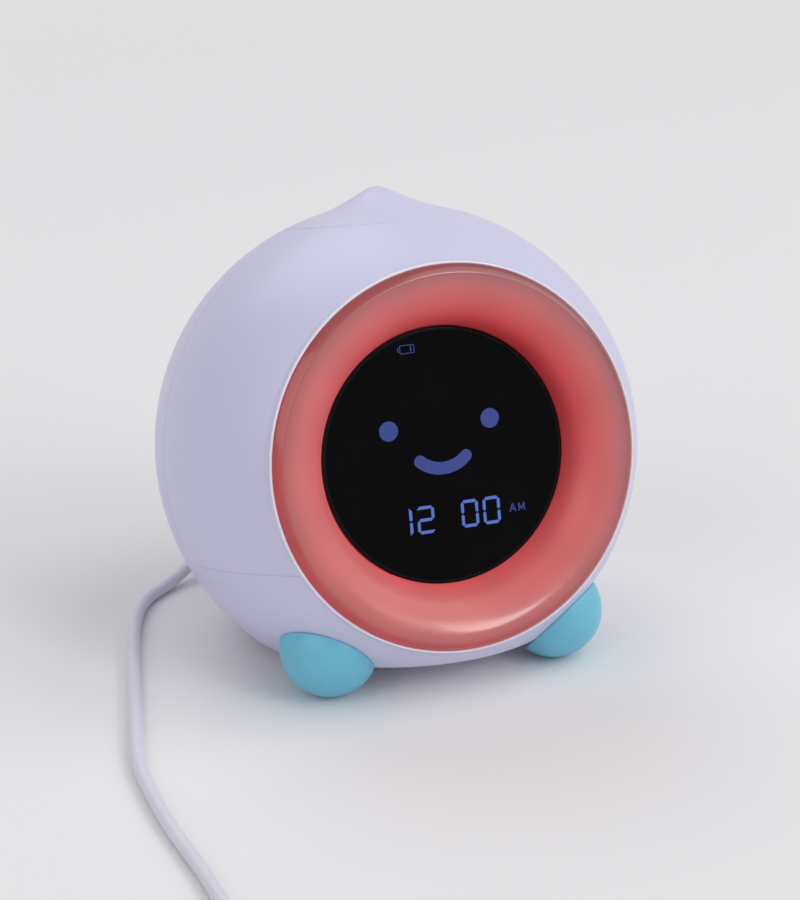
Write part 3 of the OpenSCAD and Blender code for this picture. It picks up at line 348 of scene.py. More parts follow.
def smooth_line(points, spacing):
    """A smooth line through points, given as a point every so many millimetres, and its
    length. Between two points it is the cubic whose ends run along the chord of the points on
    either side, weighed by the square root of the distances, and it never dips below the
    lead's rest height."""
    p = np.asarray(points, float)
    p = np.concatenate([[2 * p[0] - p[1]], p, [2 * p[-1] - p[-2]]])
    t = np.r_[0, np.cumsum(np.sqrt(np.linalg.norm(np.diff(p, axis=0), axis=1)))]
    d = np.diff(t)[:, None]
    v = np.diff(p, axis=0) / d
    slope = (v[:-1] * d[1:] + v[1:] * d[:-1]) / (d[:-1] + d[1:])
    knots, values = t[1:-1], p[1:-1]
    fine = np.linspace(knots[0], knots[-1], 12 * len(knots))
    k = np.clip(np.searchsorted(knots, fine, side="right") - 1, 0, len(knots) - 2)
    h = (knots[k + 1] - knots[k])[:, None]
    s = (fine - knots[k])[:, None] / h
    line = ((2 * s**3 - 3 * s**2 + 1) * values[k] + (s**3 - 2 * s**2 + s) * h * slope[k]
            + (-2 * s**3 + 3 * s**2) * values[k + 1] + (s**3 - s**2) * h * slope[k + 1])
    along = np.r_[0, np.cumsum(np.linalg.norm(np.diff(line, axis=0), axis=1))]
    even = np.linspace(0, along[-1], max(int(along[-1] / spacing), 2) + 1)
    line = np.stack([np.interp(even, along, line[:, i]) for i in range(3)], axis=1)
    line[:, 2] = np.maximum(line[:, 2], LEAD_R)
    return line, along[-1]


lead_line, lead_length = smooth_line(
    np.concatenate([[PLUG_EXIT], LEAD_DOWN, coil(), LEAD_TAIL]), 1.6)
print(f"lead: {lead_length:.0f} mm long, {len(lead_line)} points")

# %% The lead's skin


def sweep(line, radius, columns=20):
    """A round section carried along a line: point + r (cos a side + sin a over), where side is
    square to the line and level. The radius may change along the line. A flat lid closes
    either end."""
    line = np.asarray(line, float)
    ahead = unit(np.gradient(line, axis=0))
    side = unit(np.cross(ahead, (0.0, 0.0, 1.0)))
    over = np.cross(side, ahead)
    a = np.linspace(0, 2 * np.pi, columns + 1)
    a[-1] = 0.0
    out = np.cos(a)[None, :, None] * side[:, None] + np.sin(a)[None, :, None] * over[:, None]
    radius = np.broadcast_to(radius, len(line))
    skin = line[:, None] + radius[:, None, None] * out
    lean = np.gradient(radius, np.r_[0, np.cumsum(np.linalg.norm(np.diff(line, axis=0), axis=1))])
    facing = out - lean[:, None, None] * ahead[:, None]
    patches = [(skin[::-1], facing[::-1])]
    for end, way, order in ((0, -1, slice(None)), (-1, 1, slice(None, None, -1))):
        lid = np.stack([np.broadcast_to(line[end], skin[end].shape), skin[end]])[order]
        patches.append((lid, np.broadcast_to(way * ahead[end], lid.shape)))
    return patches


lead = piece("lead", mesh_of("lead", sweep(lead_line, LEAD_R)), slot="lead",
             replaces=("cord_tube", "cord_coil"))

# %% [markdown]
# ## The plug, its relief and the lead's far end
#
# A moulded plug is one soft bend: the part that goes into the clock turns through a right
# angle into the arm that holds the lead. A line with a radius that changes along it makes it
# in one piece. The relief is a cone with rings cut into it, so that it bends easily, and the
# far end is a flat plug whose body is a rounded box that grows out of a small cone.

# %% Angled plug and relief
PLUG_X, PLUG_Z = 6.0, 27.5
STEM_Y, ARM_Y, ARM_LONG = 56.8 + HEAD[1], 69.0 + HEAD[1], 13.0
STEM_R, ARM_R, BEND_R = 4.4, 3.4, 4.2


def plug_line():
    """The plug's middle line: straight back, a quarter of a circle of 4.2 mm, and level to the
    left. The stem has a rounded front and a finger groove. Along the bend the radius falls from
    the stem's to the arm's as 3 s s - 2 s s s, and the arm's end is rounded."""
    s = np.linspace(0, 1, 13)
    a = s * np.pi / 2
    y = STEM_Y + np.array([0, 0.05, 0.2, 0.45, 0.8, 3.0, 3.3, 3.6, 3.9, 4.2])
    stem = np.stack([np.full(len(y), PLUG_X), y], 1)
    bend = np.stack([PLUG_X - BEND_R * (1 - np.cos(a)), ARM_Y - BEND_R * (1 - np.sin(a))], 1)
    x = PLUG_X - ARM_LONG + np.r_[np.linspace(8.19, 0.79, 8), 0.59, 0.29, 0.09, -0.01]
    arm = np.stack([x, np.full(len(x), ARM_Y)], 1)
    line = np.concatenate([stem, bend, arm])
    radius = np.concatenate([
        [3.6, 3.9, 4.15, 4.32, STEM_R, STEM_R, 4.15, 4.0, 4.15, STEM_R],
        STEM_R + (ARM_R - STEM_R) * s * s * (3 - 2 * s),
        np.full(8, ARM_R), [3.36, 3.2, 2.9, 2.5]])
    return np.c_[line, np.full(len(line), PLUG_Z)], radius


plug = piece("angled_plug", mesh_of("angled_plug", sweep(*plug_line(), columns=40)),
             slot="lead", replaces=("cord_plug",))

RELIEF_AXES = np.array([[0.0, 1, 0], [0, 0, -1], [-1, 0, 0]])
RELIEF_LONG, GROOVE_PITCH = 16.0, 2.8


def relief_outline():
    """A cone from 3.2 to 2.3 mm over 16 mm, less a groove every 2.8 mm between 1.5 and 14.6 mm
    along it: r = cone - 0.42 (1 - (d / 0.6)^2) within d = 0.6 mm of a groove's middle."""
    z = np.linspace(0.0, RELIEF_LONG, 161)
    d = np.abs((z - 2.2) % GROOVE_PITCH - GROOVE_PITCH / 2)
    groove = np.where((z > 1.5) & (z < 14.6), np.clip(1 - (d / 0.6) ** 2, 0, 1), 0)
    r = 3.2 - 0.9 * z / RELIEF_LONG - 0.42 * groove
    r[-3:] -= [0.05, 0.12, 0.3]
    return np.concatenate([[[0, 0]], np.stack([r, z], 1), [[0, RELIEF_LONG]]])


relief_at = np.array([PLUG_X - ARM_LONG, ARM_Y, PLUG_Z])
relief = piece("relief", mesh_of("relief", [
    turn_round(relief_outline(), RELIEF_AXES, at=relief_at, columns=40)]),
    slot="lead", replaces=("cord_relief",))

# %% Plug at the far end
FAR_AT = np.array([-168.0, -180.0, 3.9])


def rounded_box_loft(stations, columns=64):
    """Sections along +Y, each a box of half width a and half height b whose corner is a
    superellipse: x = a |cos|^(2/p) and z = b |sin|^(2/p), with p = 2 for a circle. The first
    and the last section close in one point."""
    y, a, b, p = np.array(stations, float).T[:, :, None]
    t = np.linspace(0, 2 * np.pi, columns + 1)[None]
    c, s = np.cos(t), np.sin(t)
    x = a * np.sign(c) * np.abs(c) ** (2 / p)
    z = b * np.sign(s) * np.abs(s) ** (2 / p)
    x[:, -1], z[:, -1] = x[:, 0], z[:, 0]
    grid = np.stack([x, y + 0 * x, z], axis=2)
    along = np.gradient(grid, axis=0)
    around = np.roll(grid[:, :-1], -1, axis=1) - np.roll(grid[:, :-1], 1, axis=1)
    around = np.concatenate([around, around[:, :1]], axis=1)
    facing = np.cross(along, around)
    grid[[0, -1], :, ::2] = 0.0
    facing[0], facing[-1] = (0, -1, 0), (0, 1, 0)
    return grid, facing


far_grid, far_facing = rounded_box_loft([
    (0, 0.01, 0.01, 2), (0.001, 2.1, 2.1, 2), (0.25, 2.35, 2.35, 2), (3, 2.95, 2.95, 2),
    (5.6, 3.5, 3.5, 2), (6.0, 3.6, 3.6, 2.1), (6.05, 4.6, 3.65, 2.6), (6.2, 6.6, 3.72, 3.6),
    (6.6, 7.3, 3.8, 4.5), (7.3, 7.62, 3.87, 5), (8.2, 7.75, 3.9, 5.2), (12, 7.75, 3.9, 5.2),
    (12.3, 7.55, 3.9, 5.2), (12.9, 7.55, 3.9, 5.2), (13.2, 7.75, 3.9, 5.2),
    (14.4, 7.75, 3.9, 5.2), (14.7, 7.55, 3.9, 5.2), (15.3, 7.55, 3.9, 5.2),
    (15.6, 7.75, 3.9, 5.2), (26.6, 7.75, 3.9, 5.2), (27.4, 7.62, 3.85, 5.2),
    (27.9, 7.3, 3.6, 5.2), (28.0, 6.9, 3.3, 5.2), (28.001, 0.01, 0.01, 5.2)])
far_plug = piece("far_plug", mesh_of("far_plug", [(far_grid + FAR_AT, far_facing)]),
                 slot="lead", replaces=("usb_plug",))

# %% Tie round the coil


def strap(width=6.0, thick=0.8, foot=0.05):
    """A flat band over the coil: a line that goes up its inner side, over its top and down its
    outer side with round corners, given a width along the coil and a thickness. Its section is
    a superellipse, and it stands a hair above the table."""
    low, high, top = CELLS[:, 0].min() - LEAD_R, CELLS[:, 0].max() + LEAD_R, 3 * 2 * LEAD_R

    def arch(gap, round_r):
        return fillet([(low - gap, foot), (low - gap, top + gap), (high + gap, top + gap),
                       (high + gap, foot)], [0, round_r, round_r, 0], 8)

    inner, outer = arch(0.02, 1.6), arch(thick, 2.4)
    mid, half = (inner + outer) / 2, (outer - inner) / 2
    way = unit(half)
    t = np.linspace(0, 2 * np.pi, 33)
    t[-1] = 0
    c, s = np.cos(t), np.sin(t)
    across = np.sign(c) * np.abs(c) ** 0.2 * width / 2
    rise = np.sign(s) * np.abs(s) ** 0.35
    rz = mid[:, None] + half[:, None] * rise[None, :, None]
    face = way[:, None] * (np.sign(s) * np.abs(s) ** 1.65)[None, :, None]
    a = math.radians(-60)
    spoke, along = np.array([math.cos(a), math.sin(a), 0]), np.array([-math.sin(a), math.cos(a), 0])
    at = np.r_[COIL_AT, 0]
    points = (at + rz[..., :1] * spoke + rz[..., 1:] * np.array([0, 0, 1.0])
              + across[None, :, None] * along)
    facing = (face[..., :1] * spoke + face[..., 1:] * np.array([0, 0, 1.0])
              + (np.sign(c) * np.abs(c) ** 1.8)[None, :, None] * along)
    ends = []
    for row, order in ((0, slice(None)), (-1, slice(None, None, -1))):
        middle = np.broadcast_to(points[row].mean(0), points[row].shape)
        lid = np.stack([middle, points[row]])[order]
        ends.append((lid, np.broadcast_to([0, 0, -1.0], lid.shape)))
    return [(points[::-1], facing[::-1])] + ends


tie = piece("tie", mesh_of("tie", strap()), slot="tie", replaces=("cord_tie",))

# %% [markdown]
# ## Nodes
#
# The floor, the light and every finish are trees of nodes: small boxes that each work out one
# number, colour or direction from others. A few helpers make the trees short to write. A node
# group is a tree that is built once and used in many others.

# %% Node helpers
VECTOR, NUMBER = "NodeSocketVector", "NodeSocketFloat"


def add(tree, kind, links=None, **settings):
    """A node with its settings, whose inputs are linked to sockets or given values."""
    node = tree.nodes.new(kind)
    for key, value in settings.items():
        setattr(node, key, value)
    for key, value in (links or {}).items():
        if isinstance(value, bpy.types.NodeSocket):
            tree.links.new(value, node.inputs[key])
        else:
            node.inputs[key].default_value = value
    return node


def calc(tree, operation, *values, clamp=False):
    """The result of a sum, a product or another operation on sockets and numbers."""
    return add(tree, "ShaderNodeMath", dict(enumerate(values)), operation=operation,
               use_clamp=clamp).outputs[0]


def rescale(tree, value, low, high, to_low=0.0, to_high=1.0, way="LINEAR"):
    """A value taken from one range to another, and held at the ends of the second."""
    return add(tree, "ShaderNodeMapRange", {"Value": value, "From Min": low, "From Max": high,
                                            "To Min": to_low, "To Max": to_high},
               interpolation_type=way).outputs["Result"]


def mixed(tree, share, first, second):
    """A colour between two colours: the first where the share is 0, the second where it is 1."""
    return add(tree, "ShaderNodeMix", {0: share, 6: first, 7: second}, data_type="RGBA").outputs[2]


def new_group(name, inputs, outputs):
    """An empty shader node group with named inputs (name, kind, value) and outputs."""
    tree = bpy.data.node_groups.new(name, "ShaderNodeTree")
    for label, kind, value in inputs:
        socket = tree.interface.new_socket(label, in_out="INPUT", socket_type=kind)
        if value is not None:
            socket.default_value = value
    for label in outputs:
        tree.interface.new_socket(label, in_out="OUTPUT", socket_type=NUMBER)
    return tree, tree.nodes.new("NodeGroupInput").outputs, tree.nodes.new("NodeGroupOutput").inputs


def output(tree, sockets, results):
    """Each result linked to the socket of its name."""
    for name, value in results.items():
        tree.links.new(value, sockets[name])


print("kinds of sockets:", VECTOR, NUMBER)

# %% [markdown]
# ## Floor and light
#
# A pale floor and four large soft lamps show the plastic as it is. The light adds up to about
# one on a white surface that faces up, so a colour renders about as it is written. The one in
# front stands where a polished ring mirrors it as a long soft gleam.

# %% Floor
BACKDROP = (0.76, 0.76, 0.77, 1)


def seen_rays(tree):
    """A socket that is 1 for rays that show the background: from the camera, in a polished
    surface or through a clear one."""
    path = add(tree, "ShaderNodeLightPath").outputs
    total = path["Is Camera Ray"]
    for kind in ("Is Glossy Ray", "Is Transmission Ray"):
        total = calc(tree, "MAXIMUM", total, path[kind])
    return total


def floor_material():
    """A plain, matt white that turns into the backdrop's own tone between 0.7 and 1.9 m from
    the clock, so that no horizon shows."""
    material = bpy.data.materials.new("floor")
    material.use_nodes = True
    tree = material.node_tree
    shader = tree.nodes["Principled BSDF"]
    shader.inputs["Base Color"].default_value = (0.86, 0.85, 0.84, 1)
    shader.inputs["Roughness"].default_value = 0.75
    shader.inputs["Specular IOR Level"].default_value = 0.2
    where = add(tree, "ShaderNodeTexCoord").outputs["Object"]
    away = add(tree, "ShaderNodeVectorMath", {0: where}, operation="LENGTH").outputs["Value"]
    fade = rescale(tree, away, 0.7, 1.9, way="SMOOTHSTEP")
    plain = add(tree, "ShaderNodeEmission", {"Color": BACKDROP})
    both = add(tree, "ShaderNodeMixShader", {0: calc(tree, "MULTIPLY", fade, seen_rays(tree)),
                                             1: shader.outputs[0], 2: plain.outputs[0]})
    tree.links.new(both.outputs[0], tree.nodes["Material Output"].inputs["Surface"])
    return material


floor_mesh = bpy.data.meshes.new("floor")
floor_mesh.from_pydata([(-6, -6, 0), (6, -6, 0), (6, 6, 0), (-6, 6, 0)], [], [(0, 1, 2, 3)])
floor = bpy.data.objects.new("floor", floor_mesh)
floor_mesh.materials.append(floor_material())
bpy.context.scene.collection.objects.link(floor)
floor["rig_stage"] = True
print("floor:", tuple(round(side) for side in floor.dimensions[:2]), "metres")

# %% Lamps


def lamp(name, at, watts, wide, high, roll=0.0):
    """A soft lamp, so wide and so high in metres, that looks at the clock's middle and is
    turned by roll degrees about its own line of sight."""
    light = bpy.data.lights.new(name, "AREA")
    light.shape, light.energy, light.size, light.size_y = "RECTANGLE", watts, wide, high
    obj = bpy.data.objects.new(name, light)
    bpy.context.scene.collection.objects.link(obj)
    obj.location = at
    aim = (Vector((0, 0, 0.06)) - Vector(at)).to_track_quat("-Z", "Y")
    obj.rotation_euler = (aim @ Quaternion((0, 0, 1), np.radians(roll))).to_euler()
    print(f"{name}: {watts:.0f} W")


lamp("key_lamp", (2.9, -1.4, 3.4), 88.0, 4.4, 4.4)
lamp("fill_lamp", (-3.4, -1.6, 2.3), 40.0, 3.4, 3.0)
lamp("back_lamp", (-0.5, 2.5, 3.4), 36.0, 3.0, 3.0)
lamp("front_softbox", (1.11, -2.36, 1.54), 18.0, 0.55, 1.4, roll=-38.0)


def studio_world():
    """An even, faintly cool sky of 0.38. What the camera sees directly or in a polished or
    clear surface is a plain pale grey."""
    world = bpy.data.worlds.new("studio")
    world.use_nodes = True
    tree = world.node_tree
    sky = tree.nodes["Background"]
    sky.inputs["Color"].default_value = (0.9, 0.92, 1.0, 1)
    sky.inputs["Strength"].default_value = 0.38
    plain = add(tree, "ShaderNodeBackground", {"Color": BACKDROP})
    both = add(tree, "ShaderNodeMixShader", {0: seen_rays(tree), 1: sky.outputs[0],
                                             2: plain.outputs[0]})
    tree.links.new(both.outputs[0], tree.nodes["World Output"].inputs["Surface"])
    return world


bpy.context.scene.world = studio_world()
bpy.context.scene.view_settings.view_transform = "Standard"

# %% [markdown]
# ## The shells
#
# The ball is three shells that meet in hairline seams. Their engineered shape is right, with
# every hole and post, so each one is copied, its loose triangles are joined, and a fine groove
# is cut along each seam. Then each point of the ball's skin is told to face straight away from
# the ball's middle, and each point of a groove to face the groove's middle line, so the skin
# shades as a true ball.

# %% Seam grooves
GROOVE_R = 0.2
# Each seam is a circle round the ball: its middle in the face's frame, the number of the axis
# it goes round, and its radius. The first parts front from rear, the second is the base's.
SEAMS = [(np.zeros(3), 2, HEAD_R), (np.array([0, CHIN, 0]), 1, math.sqrt(HEAD_R**2 - CHIN**2))]


def groove_cutter(middle, axis, radius):
    """A ring-shaped tool: a circle of GROOVE_R carried round a seam's circle."""
    t = np.linspace(0, 2 * np.pi, 17)
    t[-1] = 0
    line = np.stack([radius + GROOVE_R * np.cos(t), GROOVE_R * np.sin(t)], axis=1)
    axes = FACE if axis == 2 else TOP
    patch = turn_round(line, axes, at=place(middle, FACE), columns=360, crease=90)
    obj = bpy.data.objects.new("cutter", mesh_of("cutter", [patch]))
    bpy.context.scene.collection.objects.link(obj)
    return obj


print("seam circles:", [round(radius, 2) for middle, axis, radius in SEAMS], "mm in radius")

# %% Copies of the shells


def joined_copy(node):
    """A copy of an engineered part's mesh with its loose triangles joined."""
    mesh = bpy.data.objects[node].data.copy()
    if "custom_normal" in mesh.attributes:
        mesh.attributes.remove(mesh.attributes["custom_normal"])
    bm = bmesh.new()
    bm.from_mesh(mesh)
    bmesh.ops.remove_doubles(bm, verts=bm.verts, dist=2e-6)
    bmesh.ops.dissolve_degenerate(bm, edges=bm.edges, dist=1e-6)
    bm.to_mesh(mesh)
    bm.free()
    return mesh


def corner_data(mesh):
    """Point places, each corner's point, and each corner's face, as arrays."""
    co = np.empty(len(mesh.vertices) * 3, np.float32)
    mesh.vertices.foreach_get("co", co)
    index = np.empty(len(mesh.loops), np.int32)
    mesh.loops.foreach_get("vertex_index", index)
    size = np.empty(len(mesh.polygons), np.int32)
    mesh.polygons.foreach_get("loop_total", size)
    return co.reshape(-1, 3).astype(float) / MM, index, np.repeat(np.arange(len(size)), size)


# %% Which way the skin faces


def face_the_ball(mesh):
    """Skin points face away from the ball's middle: (p - middle) / |p - middle|. Groove points
    face the nearest point of the seam's circle. The rest keep their own smooth direction."""
    mesh.polygons.foreach_set("use_smooth", np.ones(len(mesh.polygons), bool))
    mesh.set_sharp_from_angle(angle=math.radians(32))
    co, index, face = corner_data(mesh)
    normals = np.empty(len(mesh.loops) * 3, np.float32)
    mesh.corner_normals.foreach_get("vector", normals)
    normals = normals.reshape(-1, 3).astype(float)

    def whole_faces(point_ok):
        bad = np.zeros(face.max() + 1, bool)
        bad[face[~point_ok[index]]] = True
        return ~bad[face]

    away = co - HEAD
    skin = whole_faces(np.abs(np.linalg.norm(away, axis=1) - HEAD_R) < 0.06)
    normals[skin] = unit(away)[index[skin]]
    own = away @ FACE.T
    for middle, axis, radius in SEAMS:
        flat = own - middle
        height = flat[:, axis].copy()
        flat[:, axis] = 0
        ring = unit(flat) * radius
        to_ring = ring - flat
        to_ring[:, axis] = -height
        groove = whole_faces(np.abs(np.linalg.norm(to_ring, axis=1) - GROOVE_R) < 0.05) & ~skin
        normals[groove] = (unit(to_ring) @ FACE)[index[groove]]
    mesh.normals_split_custom_set(normals.tolist())


# %% Shells


def shell(node, seams):
    """A dressed shell: the joined copy, less a groove along each of its seams."""
    obj = bpy.data.objects.new("cut", joined_copy(node))
    bpy.context.scene.collection.objects.link(obj)
    cutters = [groove_cutter(*SEAMS[i]) for i in seams]
    for cutter in cutters:
        cut = obj.modifiers.new("groove", "BOOLEAN")
        cut.operation, cut.solver, cut.object = "DIFFERENCE", "MANIFOLD", cutter
    ready = obj.evaluated_get(bpy.context.evaluated_depsgraph_get())
    mesh = bpy.data.meshes.new_from_object(ready)
    for used in cutters + [obj]:
        bpy.data.objects.remove(used)
    face_the_ball(mesh)
    mesh.materials.clear()
    return piece(f"{node}_skin", mesh, slot="shell", replaces=(node,))


for node, seams in (("front_shell", (0, 1)), ("rear_shell", (0, 1)), ("base_shell", (1,))):
    shell(node, seams)

# %% [markdown]
# ## The cap
#
# The top of the ball is one big button. It follows the ball and rises into a soft, slightly
# leaning peak with long flanks. Its rim and its hidden lining are turned from one outline, and
# its skin is a height over a round grid, because the peak's tip isn't quite in the middle.

# %% Cap
CAP_R, CAP_TOP_R, CAP_WALL = 26.7, 25.9, 2.2
PEAK_H, PEAK_R, TIP_ROUND, PEAK_AT = 4.9, 19.0, 4.26, (0.77, 0.23)


def cap_height(x, y):
    """sqrt(72^2 - r^2) + 4.9 (1 - s)^2.27. Here s runs from 0 at the peak to 1 at 19 mm from
    it, and is sqrt(d^2 + 4.26^2) - 4.26 over its greatest value, which rounds the tip."""
    d = np.hypot(x - PEAK_AT[0], y - PEAK_AT[1])
    s = (np.hypot(d, TIP_ROUND) - TIP_ROUND) / (math.hypot(PEAK_R, TIP_ROUND) - TIP_ROUND)
    return np.sqrt(HEAD_R**2 - x * x - y * y) + PEAK_H * (1 - np.clip(s, 0, 1)) ** 2.27


def cap_skin(columns=192):
    """Polar grid (r cos a, r sin a, height) that faces (-dh/dx, -dh/dy, 1)."""
    r = np.linspace(0, CAP_TOP_R, 110)[:, None]
    a = np.linspace(0, 2 * np.pi, columns + 1)[None]
    a[0, -1] = 0.0
    x, y = r * np.cos(a), r * np.sin(a)
    e = 0.01
    slope_x = (cap_height(x + e, y) - cap_height(x - e, y)) / (2 * e)
    slope_y = (cap_height(x, y + e) - cap_height(x, y - e)) / (2 * e)
    return (place(np.stack([x, y, cap_height(x, y)], 2), TOP),
            np.stack([-slope_x, -slope_y, np.ones_like(x)], 2) @ TOP)


POST_R, POST_LOW, RIM_LOW = 4.0, 57.6, 61.3
lining_r = np.linspace(POST_R, CAP_R - CAP_WALL, 40)
rim = fillet([(CAP_R - CAP_WALL, RIM_LOW), (CAP_R, RIM_LOW), (CAP_R, cap_height(CAP_R, 0)),
              (CAP_TOP_R, cap_height(CAP_TOP_R, 0))], [0, 0.3, 0.3, 0], 8)
cap_line = np.concatenate([
    [[0, POST_LOW], [POST_R, POST_LOW]],
    np.stack([lining_r, cap_height(lining_r, 0) - CAP_WALL], 1), rim])
piece("cap_skin", mesh_of("cap_skin", [turn_round(cap_line, TOP, columns=192), cap_skin()]),
      body="top_button", slot="shell", replaces=("top_cap",))

# %% [markdown]
# ## The light ring and the screen's glass
#
# The ring is one turned diffuser. Its outer edge slants up to a crease, and inside the crease
# the surface falls in one big quarter round to the glass. Under it the wall is 1.2 to 2 mm
# thick. Round its outside runs the fine bead that edges the shell's opening. The glass is a
# flat disc, and its bevelled rim is a piece of its own with a finish of its own.

# %% Ring
RING_R, RING_LOW_N, RING_WALL = 54.55, 37.6, 2.0
CREASE_R, FALL_R = 52.0, 15.0
SLEEVE_R, SLEEVE_LOW_N = 37.05, 33.97
UNDER_R, UNDER_TOP_N, UNDER_ROUND = 50.8, 47.6178, 11.9023


def ring_outline():
    """Outer edge: a line with rounded corners from (54.55, 47.75) over (53.6, 48.85) to the
    crease. Slope: (52 + 15 cos b, crest + 15 (sin b - 1)), level at the crease and nearly
    upright at the glass. Underneath: a quarter of a circle of 11.9 mm up to the top of the
    hollow, and a step down to the outer wall."""
    outer = fillet([(RING_R, RING_LOW_N), (RING_R, 47.75), (53.6, 48.85),
                    (CREASE_R + 0.32, CREST_N), (CREASE_R, CREST_N)], [0, 0.5, 1.6, 0.85, 0], 10)
    end = np.pi - math.acos((CREASE_R - SLEEVE_R) / FALL_R)
    b = np.linspace(np.pi / 2, end, 65)[1:]
    slope = np.stack([CREASE_R + FALL_R * np.cos(b), CREST_N + FALL_R * (np.sin(b) - 1)], 1)
    c = np.linspace(np.pi, np.pi / 2, 33)
    under = np.stack([UNDER_R + UNDER_ROUND * np.cos(c),
                      UNDER_TOP_N + UNDER_ROUND * (np.sin(c) - 1)], 1)
    sleeve = [[SLEEVE_R, SLEEVE_LOW_N], [UNDER_R - UNDER_ROUND, SLEEVE_LOW_N]]
    wall = [[RING_R - RING_WALL, UNDER_TOP_N - 0.4], [RING_R - RING_WALL, RING_LOW_N]]
    return np.concatenate([wall[1:], outer, slope, sleeve, under, wall])


# %% Opening lip
LIP_R, LIP_N, BEAD_R = 55.03, 46.95, 0.33


def lip_outline():
    """A half circle of 0.33 mm round (55.03, 46.95), on two sides that go down into the gap
    and the shell."""
    turn = np.linspace(0, np.pi, 21)
    bead = np.stack([LIP_R + BEAD_R * np.cos(turn), LIP_N + BEAD_R * np.sin(turn)], 1)
    inside, outside = [LIP_R - BEAD_R, LIP_N - 1.05], [LIP_R + BEAD_R, LIP_N - 1.35]
    return np.concatenate([[inside, outside], bead, [inside]])


lip = turned_piece("opening_lip", lip_outline(), slot="shell")
turned_piece("ring_skin", ring_outline(), slot="ring", replaces=("light_ring",))

# %% Glass and its bevel
FLAT_R, BEVEL_WIDE, BEVEL_HIGH = 35.85, 0.6, 0.22
turned_piece("glass_skin", [(0, GLASS_BACK_N), (FLAT_R, GLASS_BACK_N), (FLAT_R, GLASS_N),
                            (0, GLASS_N)], 192, slot="window", replaces=("display_lens",))
bevel_line = fillet([(FLAT_R, GLASS_BACK_N), (GLASS_R, GLASS_BACK_N),
                     (GLASS_R, GLASS_N - BEVEL_HIGH), (GLASS_R - BEVEL_WIDE, GLASS_N),
                     (FLAT_R, GLASS_N), (FLAT_R, GLASS_BACK_N)], [0, 0.15, 0.15, 0.15, 0, 0])
bevel = turned_piece("glass_bevel", bevel_line, 192, slot="window")

# %% [markdown]
# ## The feet
#
# Each foot is most of a ball that sits against the head, cut flat where it stands. The turned
# outline is the foot's own arc, a small round at the seam, and the head's arc back to the
# axis. What would dip below the table's clearance is then pressed flat.

# %% Feet
FOOT_R, FOOT_OUT, FOOT_LOW = 14.5, 68.1, 0.3
FOOT_DOWN, FOOT_TURN = math.radians(41.2), math.radians(44)
FOOT_MEETS = math.radians(80.2)


def foot(side):
    """Axis: down 41.2 degrees and 44 degrees to its side. Outline round it, from the foot's
    middle: (14.5 sin a, 14.5 cos a) as far as a = 80.2 degrees, where it meets the head, then
    (r, sqrt(72^2 - r^2) - 68.1) back to the axis."""
    down, turn = FOOT_DOWN, FOOT_TURN * side
    out = np.array([math.cos(down) * math.sin(turn), -math.cos(down) * math.cos(turn),
                    -math.sin(down)])
    across = unit(np.cross(out, (0, 0, 1)))
    axes = np.array([across, np.cross(out, across), out])
    a = np.linspace(0.03, FOOT_MEETS - 0.06, 60)
    r = np.linspace(13.3, 0, 30)
    dish = np.stack([r, np.sqrt((HEAD_R + 0.02)**2 - r * r) - FOOT_OUT], 1)
    rim = FOOT_R * np.array([math.sin(FOOT_MEETS), math.cos(FOOT_MEETS)])
    ball = np.stack([FOOT_R * np.sin(a), FOOT_R * np.cos(a)], 1)
    corner = fillet([ball[-1], rim, dish[0]], [0, 0.35, 0], 6)
    line = np.concatenate([[[0, FOOT_R]], ball[:-1], corner, dish[1:]])[::-1]
    points, facing = turn_round(line, axes, at=HEAD + FOOT_OUT * out, columns=144)
    flat = points[..., 2] < FOOT_LOW
    points[..., 2] = np.maximum(points[..., 2], FOOT_LOW)
    facing[flat] = (0, 0, -1)
    return [(points, facing)]


for name, side in (("left_foot", -1), ("right_foot", 1)):
    piece(f"{name}_skin", mesh_of(name, foot(side)), slot="turquoise", replaces=(name,))

# %% [markdown]
# ## The keys
#
# Five round keys stand a millimetre out of the back. Their ends follow a slightly larger ball
# than the shell, with a rounded edge and a shallow dish for the fingertip.

# %% Keys
KEY_PITCH, KEY_UP, KEY_BALL_R, KEY_INNER = 12.0, -3.0, HEAD_R + 1, -58.0
DISH_R, DISH_DEEP = 3.0, 0.25


